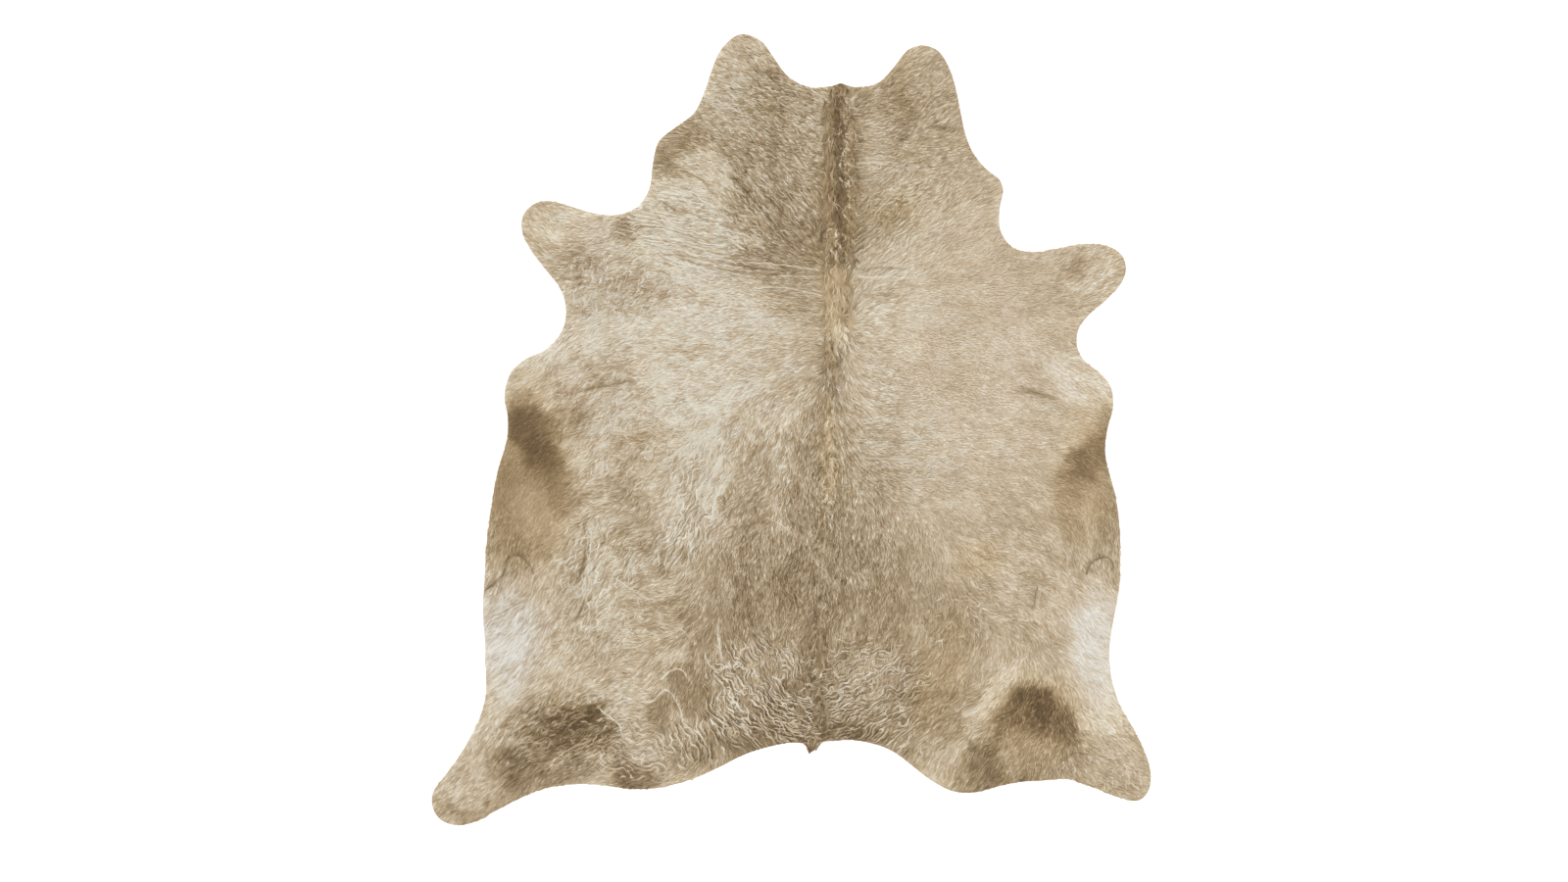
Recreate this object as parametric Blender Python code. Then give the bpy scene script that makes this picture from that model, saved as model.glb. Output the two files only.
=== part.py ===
"""A whole cowhide laid flat as a rug: one skin with its hair on, trimmed round one rim.

Metres, +Z up. The neck is at +Y and the tail at -Y. The origin is the middle of the hide's bounding
box, on the floor. The hide is one closed solid, from its flesh side on the floor to the tips of its hair.
"""

import math

import bmesh
import bpy
import numpy as np
from mathutils import Vector, noise
from mathutils.geometry import delaunay_2d_cdt

# Driving sizes
HIDE_LENGTH = 2.20
HIDE_WIDTH = 2.00
LEATHER = 0.003
PILE_AT_RIM = 0.0038
PILE_ON_BELLY = 0.0045
PILE_ON_BACK = 0.0065

# How far apart the points of the solid are
RIM_STEP = 0.022
SHOULDER_INSET = 0.009
TOP_STEP = 0.037
UNDER_STEP = 0.062
RIDGE_STEP = 0.024
CREST_ROWS = (-0.040, -0.019, 0.0, 0.019, 0.040)
FOLD_ROWS = (-0.014, 0.0, 0.014)

# The knife's line, one row for each part of the hide, clockwise from above: (x, y) knots
RIM = (
    ("left neck lobe", ((-0.220, 1.000), (-0.193, 1.058), (-0.142, 1.098), (-0.083, 1.080),
                        (-0.045, 1.030))),
    ("nape", ((-0.006, 0.980), (0.050, 0.951), (0.112, 0.954), (0.138, 0.962), (0.176, 0.951),
              (0.236, 0.960))),
    ("right neck lobe", ((0.283, 1.005), (0.321, 1.052), (0.362, 1.067), (0.407, 1.053),
                         (0.436, 1.012), (0.454, 0.962))),
    ("right cheek", ((0.468, 0.900), (0.480, 0.838), (0.501, 0.777), (0.539, 0.726), (0.579, 0.694),
                     (0.589, 0.665), (0.580, 0.618), (0.581, 0.555))),
    ("right fore shank", ((0.617, 0.505), (0.679, 0.493), (0.742, 0.504), (0.804, 0.515),
                          (0.872, 0.512), (0.916, 0.487), (0.930, 0.448), (0.918, 0.408),
                          (0.879, 0.363), (0.831, 0.321))),
    ("right elbow", ((0.799, 0.280), (0.794, 0.232), (0.813, 0.192), (0.858, 0.157),
                     (0.888, 0.116))),
    ("right flank", ((0.893, 0.058), (0.879, 0.002), (0.872, -0.062), (0.886, -0.130),
                     (0.903, -0.195), (0.912, -0.270), (0.914, -0.350), (0.911, -0.440),
                     (0.899, -0.510), (0.887, -0.580), (0.884, -0.640), (0.893, -0.705))),
    ("right hind shank", ((0.913, -0.765), (0.946, -0.822), (0.976, -0.880), (0.996, -0.938),
                          (0.998, -0.985), (0.979, -1.022), (0.945, -1.032), (0.882, -1.012),
                          (0.820, -0.989), (0.767, -0.972))),
    ("right buttock", ((0.700, -0.976), (0.635, -0.980), (0.570, -0.993), (0.510, -1.008),
                       (0.448, -1.005), (0.390, -0.976))),
    ("rump", ((0.337, -0.936), (0.284, -0.896), (0.226, -0.873), (0.168, -0.863), (0.124, -0.864))),
    ("tail tuft", ((0.083, -0.870), (0.076, -0.882), (0.065, -0.891), (0.050, -0.898),
                   (0.043, -0.882), (0.033, -0.873))),
    ("left buttock", ((-0.006, -0.871), (-0.074, -0.885), (-0.134, -0.906), (-0.192, -0.935),
                      (-0.250, -0.962), (-0.310, -0.983), (-0.373, -0.996), (-0.437, -0.999),
                      (-0.500, -0.991), (-0.564, -0.985))),
    ("left hind shank", ((-0.628, -0.988), (-0.691, -1.000), (-0.750, -1.024), (-0.808, -1.053),
                         (-0.866, -1.086), (-0.925, -1.100), (-0.973, -1.084), (-0.996, -1.045),
                         (-0.992, -1.003), (-0.961, -0.962), (-0.922, -0.909), (-0.889, -0.853),
                         (-0.862, -0.795))),
    ("left flank", ((-0.847, -0.733), (-0.848, -0.669), (-0.849, -0.600), (-0.855, -0.500),
                    (-0.850, -0.410), (-0.847, -0.340), (-0.842, -0.280), (-0.832, -0.215),
                    (-0.822, -0.150), (-0.807, -0.090), (-0.789, -0.030), (-0.786, 0.030))),
    ("left elbow", ((-0.795, 0.092), (-0.780, 0.154), (-0.739, 0.195), (-0.678, 0.224),
                    (-0.638, 0.270), (-0.625, 0.330), (-0.642, 0.392))),
    ("left fore shank", ((-0.684, 0.446), (-0.722, 0.497), (-0.747, 0.548), (-0.744, 0.594),
                         (-0.714, 0.626), (-0.670, 0.635), (-0.607, 0.619), (-0.546, 0.601),
                         (-0.482, 0.597))),
    ("left cheek", ((-0.425, 0.619), (-0.393, 0.672), (-0.384, 0.738), (-0.367, 0.800),
                    (-0.318, 0.841), (-0.269, 0.880), (-0.240, 0.940))),
)

# The crest of long hair from the root of the tail to the nape: y, x, height, half width
CREST = np.array((
    (-0.868, 0.064, 0.0040, 0.016),
    (-0.766, 0.070, 0.0040, 0.016),
    (-0.657, 0.075, 0.0030, 0.016),
    (-0.548, 0.073, 0.0030, 0.018),
    (-0.440, 0.088, 0.0030, 0.022),
    (-0.358, 0.100, 0.0030, 0.024),
    (-0.222, 0.100, 0.0040, 0.022),
    (-0.115, 0.096, 0.0060, 0.020),
    (0.020, 0.110, 0.0060, 0.020),
    (0.160, 0.116, 0.0070, 0.022),
    (0.320, 0.129, 0.0080, 0.029),
    (0.430, 0.131, 0.0080, 0.030),
    (0.590, 0.130, 0.0090, 0.026),
    (0.700, 0.136, 0.0090, 0.026),
    (0.810, 0.138, 0.0090, 0.027),
    (0.955, 0.138, 0.0060, 0.026),
))

# Creases that the skin keeps: height, half width, (x, y) knots
FOLDS = (
    ("left neck lobe crease", 0.0020, 0.012, ((-0.190, 1.040), (-0.115, 1.046), (-0.055, 1.038))),
    ("lower left neck lobe crease", 0.0020, 0.012, ((-0.195, 0.994), (-0.100, 0.988), (-0.020, 0.974))),
    ("right neck lobe crease", 0.0020, 0.012, ((0.400, 0.846), (0.440, 0.838), (0.468, 0.832))),
    ("cheek crease", 0.0022, 0.012, ((-0.365, 0.640), (-0.330, 0.615), (-0.235, 0.594))),
    ("throat crease", 0.0026, 0.013, ((-0.150, 0.702), (-0.096, 0.632), (-0.047, 0.566))),
    ("neck fold", 0.0024, 0.012, ((-0.310, 0.490), (-0.131, 0.466), (-0.031, 0.455), (0.070, 0.444))),
    ("lower neck fold", 0.0022, 0.012, ((-0.110, 0.392), (-0.025, 0.395), (0.084, 0.371))),
    ("right neck fold", 0.0020, 0.012, ((0.180, 0.448), (0.270, 0.446), (0.345, 0.444))),
    ("left belly crease", 0.0024, 0.013, ((-0.570, -0.280), (-0.590, -0.400), (-0.600, -0.530))),
    ("left flank fold", 0.0034, 0.012, ((-0.832, -0.432), (-0.806, -0.407), (-0.789, -0.361),
                                        (-0.760, -0.347), (-0.724, -0.377), (-0.711, -0.418))),
    ("right flank fold", 0.0034, 0.012, ((0.815, -0.402), (0.833, -0.369), (0.861, -0.352),
                                         (0.883, -0.365))),
    ("left knee fold", 0.0040, 0.014, ((-0.700, -0.853), (-0.632, -0.801), (-0.558, -0.769),
                                       (-0.520, -0.780), (-0.482, -0.818), (-0.471, -0.869))),
    ("left knee inner fold", 0.0026, 0.012, ((-0.643, -0.902), (-0.607, -0.880), (-0.564, -0.864))),
    ("left haunch fold", 0.0026, 0.012, ((-0.517, -0.900), (-0.480, -0.888), (-0.445, -0.894))),
    ("right knee fold", 0.0026, 0.014, ((0.644, -0.703), (0.595, -0.785), (0.559, -0.845),
                                        (0.530, -0.897))),
    ("right hock crease", 0.0024, 0.012, ((0.750, -0.921), (0.782, -0.897), (0.834, -0.902))),
)

# Where the dried rim stands a little off the floor: x, y, radius, height. The shanks and neck lobes lie
# flat, so that the hide rests on its far corners and doesn't rock.
LIFTS = (
    ("right cheek", 0.590, 0.670, 0.110, 0.0035),
    ("right elbow", 0.885, 0.090, 0.130, 0.0035),
    ("right flank", 0.915, -0.320, 0.170, 0.0040),
    ("right buttock", 0.510, -1.010, 0.130, 0.0030),
    ("left buttock", -0.430, -1.000, 0.150, 0.0035),
    ("left flank", -0.860, -0.500, 0.160, 0.0045),
    ("left elbow", -0.795, 0.100, 0.130, 0.0035),
    ("left cheek", -0.375, 0.770, 0.110, 0.0030),
)

# The back, where the hair is deepest, and the rump, where it curls: x, y, half width, half length
BACK = (0.100, 0.000, 0.720, 0.950)
RUMP = (0.060, -0.720, 0.420, 0.190)

# Unevenness of the coat: height, and how far apart its bumps are
COAT_LUMPS = (0.0007, 0.120)
RUMP_CURLS = (0.0016, 0.055)
CREST_LOCKS = (0.80, 0.060)

COAT_COLOUR = (0.52, 0.42, 0.29, 1.0)
COAT_ROUGHNESS = 0.85


def catmull_rom(knots, step, closed=False):
    """Points about step apart on a smooth curve through the knots."""
    knots = [Vector(k) for k in knots]
    if not closed:
        knots = [2 * knots[0] - knots[1], *knots, 2 * knots[-1] - knots[-2]]
    spans = len(knots) if closed else len(knots) - 3
    points = []
    for i in range(spans):
        a, b, c, d = (knots[(i + k) % len(knots)] for k in range(4))
        parts = max(1, round((c - b).length / step))
        for t in (part / parts for part in range(parts)):
            points.append(0.5 * (2 * b + (c - a) * t + (2 * a - 5 * b + 4 * c - d) * t**2
                                 + (3 * b - a - 3 * c + d) * t**3))
    return np.array(points if closed else [*points, knots[-2]])


def rim_points():
    """The rim, counter-clockwise from above, fitted to the hide's length and width about the origin."""
    knots = [knot for _, part in RIM for knot in part]
    ring = catmull_rom(knots, RIM_STEP, closed=True)[::-1]
    low, high = ring.min(axis=0), ring.max(axis=0)
    return (ring - (low + high) / 2) * (HIDE_WIDTH, HIDE_LENGTH) / (high - low)


def left_of(along):
    """Unit vectors to the left of each way along a line."""
    along = along / np.linalg.norm(along, axis=1)[:, None]
    return np.stack([-along[:, 1], along[:, 0]], axis=1)


def inset(ring, depth):
    """The ring moved inwards by depth, square to itself."""
    return ring + depth * left_of(np.roll(ring, -1, axis=0) - np.roll(ring, 1, axis=0))


def distance_to_line(points, line):
    """How far each point is from the line, and how far along the line its nearest place is (0 to 1)."""
    nearest = np.full(len(points), np.inf)
    place = np.zeros(len(points))
    for k, (a, b) in enumerate(zip(line[:-1], line[1:])):
        way = b - a
        t = np.clip((points - a) @ way / (way @ way), 0, 1)
        away = np.linalg.norm(points - a - t[:, None] * way, axis=1)
        nearer = away < nearest
        nearest[nearer] = away[nearer]
        place[nearer] = (k + t[nearer]) / (len(line) - 1)
    return nearest, place


def bump(away, reach):
    """1 at no distance, falling smoothly to 0 at reach."""
    t = np.clip(1 - away / reach, 0, 1)
    return t * t * (3 - 2 * t)


def in_oval(points, oval):
    """1 at the middle of the oval, falling smoothly to 0 at its rim."""
    x, y, half_width, half_length = oval
    return bump(np.hypot((points[:, 0] - x) / half_width, (points[:, 1] - y) / half_length), 1)


def lumps(points, unevenness):
    """Bumps up to the given height either way, the given distance apart."""
    height, spacing = unevenness
    return height * np.array([noise.noise((x / spacing, y / spacing, 0.5)) for x, y in points])


def crest_at(y):
    """The middle, height and half width of the crest at each y."""
    return tuple(np.interp(y, CREST[:, 0], CREST[:, column]) for column in (1, 2, 3))


def skin_height(points):
    """How far the flesh side stands off the floor."""
    height = np.zeros(len(points))
    for _, x, y, radius, rise in LIFTS:
        away = np.hypot(points[:, 0] - x, points[:, 1] - y)
        height = np.maximum(height, rise * bump(away, radius))
    return height


def hair_depth(points):
    """How deep the laid coat is above the leather, away from the rim."""
    depth = PILE_ON_BELLY + (PILE_ON_BACK - PILE_ON_BELLY) * in_oval(points, BACK)
    depth += lumps(points, COAT_LUMPS)
    depth += in_oval(points, RUMP) * (RUMP_CURLS[0] + lumps(points, RUMP_CURLS))
    middle, tall, half_width = crest_at(points[:, 1])
    away = (points[:, 0] - middle) / half_width
    depth += tall * (0.85 + lumps(points, CREST_LOCKS)) * np.exp(-(away**2))
    for _, height, half_width, knots in FOLDS:
        away, place = distance_to_line(points, catmull_rom(knots, RIDGE_STEP))
        depth += height * bump(away, 2 * half_width) * np.sqrt(4 * place * (1 - place))
    return depth


def clear_of(points, ring, gap):
    """The points that lie inside the ring and at least gap from it."""
    inside = np.zeros(len(points), bool)
    x, y = points.T
    for (ax, ay), (bx, by) in zip(ring, np.roll(ring, -1, axis=0)):
        crosses = (ay > y) != (by > y)
        inside[crosses] ^= x[crosses] < ax + (y[crosses] - ay) * (bx - ax) / (by - ay)
    away, _ = distance_to_line(points, np.vstack([ring, ring[:1]]))
    return points[inside & (away > gap)]


def thinned(points, taken, gap):
    """The points that are at least gap from every taken one."""
    away = np.full(len(points), np.inf)
    for x, y in taken:
        away = np.minimum(away, np.hypot(points[:, 0] - x, points[:, 1] - y))
    return points[away > gap]


def honeycomb(step):
    """Points of an even triangular grid over the hide's rectangle."""
    row_step = step * math.sqrt(3) / 2
    rows = math.ceil(HIDE_LENGTH / row_step) + 1
    columns = math.ceil(HIDE_WIDTH / step) + 1
    return np.array([
        ((column + 0.5 * (row % 2)) * step - HIDE_WIDTH / 2, row * row_step - HIDE_LENGTH / 2)
        for row in range(rows)
        for column in range(columns)
    ])


def crest_points():
    """Points along the crest and beside it, so that the ridge keeps its shape."""
    y = np.arange(CREST[0, 0], CREST[-1, 0], RIDGE_STEP)
    middle, _, _ = crest_at(y)
    return np.vstack([np.stack([middle + row, y], axis=1) for row in CREST_ROWS])


def fold_points():
    """Points along each fold and beside it."""
    rows = []
    for _, _, _, knots in FOLDS:
        line = catmull_rom(knots, RIDGE_STEP)
        side = left_of(np.gradient(line, axis=0))
        rows += [line + row * side for row in FOLD_ROWS]
    return np.vstack(rows)


def coat_points(shoulder):
    """The points that the coat is built on inside its shoulder: crest, folds, and a grid between them."""
    crest = clear_of(crest_points(), shoulder, 0.4 * TOP_STEP)
    folds = thinned(clear_of(fold_points(), shoulder, 0.4 * TOP_STEP), crest, 0.5 * RIDGE_STEP)
    ridges = np.vstack([crest, folds])
    grid = clear_of(honeycomb(TOP_STEP), shoulder, 0.55 * TOP_STEP)
    return np.vstack([ridges, thinned(grid, ridges, 0.6 * TOP_STEP)])


def triangulated(ring, inner):
    """All points and triangles of the area inside the ring, with the ring's own points first."""
    points = [Vector(p) for p in (*ring, *inner)]
    edges = [(k, (k + 1) % len(ring)) for k in range(len(ring))]
    found = delaunay_2d_cdt(points, edges, [], 1, 1e-6)
    return np.array(found[0]), found[2]


def add_band(mesh, lower, upper):
    """A band of faces round the rim between two rings of points."""
    for k in range(len(lower)):
        after = (k + 1) % len(lower)
        mesh.faces.new((lower[k], lower[after], upper[after], upper[k]))


def hide_solid():
    """The hide as one closed mesh: flesh side, cut edge, shoulder of hair at the rim, and coat."""
    ring = rim_points()
    shoulder = inset(ring, SHOULDER_INSET)
    under, under_faces = triangulated(ring, clear_of(honeycomb(UNDER_STEP), ring, 0.5 * UNDER_STEP))
    coat, coat_faces = triangulated(shoulder, coat_points(shoulder))
    depth = hair_depth(coat)
    depth[:len(ring)] = PILE_AT_RIM

    mesh = bmesh.new()
    under_z = skin_height(under)
    coat_z = skin_height(coat) + LEATHER + depth
    flesh = [mesh.verts.new((*p, z)) for p, z in zip(under, under_z)]
    edge = [mesh.verts.new((*p, z + LEATHER)) for p, z in zip(ring, under_z)]
    hair = [mesh.verts.new((*p, z)) for p, z in zip(coat, coat_z)]
    for face in under_faces:
        mesh.faces.new([flesh[k] for k in reversed(face)])
    for face in coat_faces:
        mesh.faces.new([hair[k] for k in face])
    add_band(mesh, flesh[:len(ring)], edge)
    add_band(mesh, edge, hair[:len(ring)])
    bmesh.ops.recalc_face_normals(mesh, faces=mesh.faces)
    return mesh


def coat_material():
    """The hide's plain colour."""
    material = bpy.data.materials.new("hair_on_hide")
    material.use_nodes = True
    shader = material.node_tree.nodes["Principled BSDF"]
    shader.inputs["Base Color"].default_value = COAT_COLOUR
    shader.inputs["Roughness"].default_value = COAT_ROUGHNESS
    return material


def main():
    for old in list(bpy.data.objects):
        bpy.data.objects.remove(old)
    solid = hide_solid()
    mesh = bpy.data.meshes.new("hide")
    solid.to_mesh(mesh)
    solid.free()
    mesh.materials.append(coat_material())
    hide = bpy.data.objects.new("hide", mesh)
    bpy.context.scene.collection.objects.link(hide)


main()
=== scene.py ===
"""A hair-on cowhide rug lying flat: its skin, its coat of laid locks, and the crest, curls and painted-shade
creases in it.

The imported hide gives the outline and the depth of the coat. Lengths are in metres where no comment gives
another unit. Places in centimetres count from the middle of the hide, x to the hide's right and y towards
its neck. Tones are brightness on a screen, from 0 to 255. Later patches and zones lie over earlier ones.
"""

import bpy
import numpy as np
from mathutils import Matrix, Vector
from mathutils.bvhtree import BVHTree
from mathutils.geometry import delaunay_2d_cdt


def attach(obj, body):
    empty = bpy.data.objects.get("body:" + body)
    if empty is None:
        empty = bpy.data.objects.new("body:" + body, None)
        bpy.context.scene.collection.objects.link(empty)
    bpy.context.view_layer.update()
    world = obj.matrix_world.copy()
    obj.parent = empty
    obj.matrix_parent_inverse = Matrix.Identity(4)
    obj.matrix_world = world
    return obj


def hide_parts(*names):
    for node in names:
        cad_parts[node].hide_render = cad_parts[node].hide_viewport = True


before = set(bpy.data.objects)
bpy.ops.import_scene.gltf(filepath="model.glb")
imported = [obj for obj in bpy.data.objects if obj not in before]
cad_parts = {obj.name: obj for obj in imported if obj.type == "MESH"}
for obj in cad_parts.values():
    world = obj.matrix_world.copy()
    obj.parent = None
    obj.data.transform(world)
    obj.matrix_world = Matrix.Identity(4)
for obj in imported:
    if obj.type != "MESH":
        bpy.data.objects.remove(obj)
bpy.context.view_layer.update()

CM = 0.01
MM = 0.001
WHITE = 255
SEED = 20

# Strands differ in length and width by shares in this range
VARIED = (0.7, 1.3)

# Noise: the cells of its table each way, and which of them the hide's middle is in
NOISE_CELLS = 256
NOISE_MIDDLE = 64

# The skin: its flat size, its edge's thickness, and the share by which it rises where the hide isn't thin
SKIN_WIDTH = 2.0
SKIN_LENGTH = 2.2
SKIN_AREA = 3.0
SKIN_EDGE = 0.0022
THIN_HIDE = 0.003
HAIR_BED = 0.35

# Maps over the hide: their step, their margin, and how many steps past the rim heights are filled in
MAP_STEP = 0.006
MAP_MARGIN = 0.03
MAP_REACH = 5

# The skin's mesh: steps between points, gaps from the rim, and the cut edge's rings by height and on the map
ROW_STEP = 0.866
RING_STEP = 0.007
SKIN_INSET = 0.0012
TOP_STEP = 0.014
TOP_GAP = 0.008
TOP_INSET = 0.0006
UNDER_STEP = 0.024
UNDER_GAP = 0.014
UNDER_INSET = 0.0004
EDGE_LEVELS = (0.75, 0.2)
EDGE_MAP = (0, 0.0010, 0.0024, 0.0034)
UV_MARGIN = 0.02

# The coat's locks: lengths and heights are shares of the coat's own, and angles are in degrees. Their roll
# and the jitter of their tone grow with the streaks of their zone.
COAT_PARTS = ("coat_rump", "coat_back", "coat_shoulders", "coat_neck")
LOCKS_A_PART = 50000
LOCK_POINTS = 3
LOCK_GAP = 0.0015
LEAST_LOCK_GAP = 0.001
LOCK_WIDTH = 0.0027
LOCK_LENGTHS = (0.75, 1.25)
LOCK_LIFTS = ((0.5, 0.9), (0.75, 1.3))
LOCK_CLEARANCE = 0.0002
LOCK_TURN = 8
LOCK_BEND = 18
LOCK_ROLL = 1.5
LOCK_JITTER = 1.65
# Painted shade makes each lock darker at its root, under the locks over it, and a painted highlight makes it
# lighter at its tip
PAINTED_ROOT_SHADE = -20
PAINTED_TIP_LIGHT = 7

# The coat's looks where no table says more
BASE_TONE = 176
BASE_WARMTH = 0.57
BASE_COAT = (20, 9, 9, 11)
WARMTH_SPREAD = 0.06
MARBLING_CONTRAST = 1.5
CREST_STRENGTH = 0.9
CREST_RAGGEDNESS = 0.5

# Unevenness: spacing (m), amount or share, seed of each size of bump
RAGGED_EDGES = ((0.11, 0.022, 1), (0.035, 0.011, 3), (0.013, 0.007, 5))
MARBLING = ((0.055, 0.8, 41), (0.022, 1.0, 42), (0.010, 0.8, 43))
STREAKS = ((0.0045, 1.0, 44),)
FLOW_WANDER = ((0.090, 0.16, 31), (0.030, 0.12, 32))
WARMTH_WANDER = ((0.06, 0.08, 51),)
SKIN_WAVES = ((0.03, 0.0004, 61),)
LINE_SWAY = ((0.011, 0.0022, 77),)

# How far streaks are drawn out, in spacings, and what brings their spread to about 1
STREAK_STEPS = (-0.7, 0.0, 0.7)
STREAK_GAIN = 0.95

# Swirls, which turn the hair by a share of its unruliness
SWIRL_SIZE = 0.022
SWIRL_SHARE = 1.3
SWIRL_SEED = 71

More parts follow.
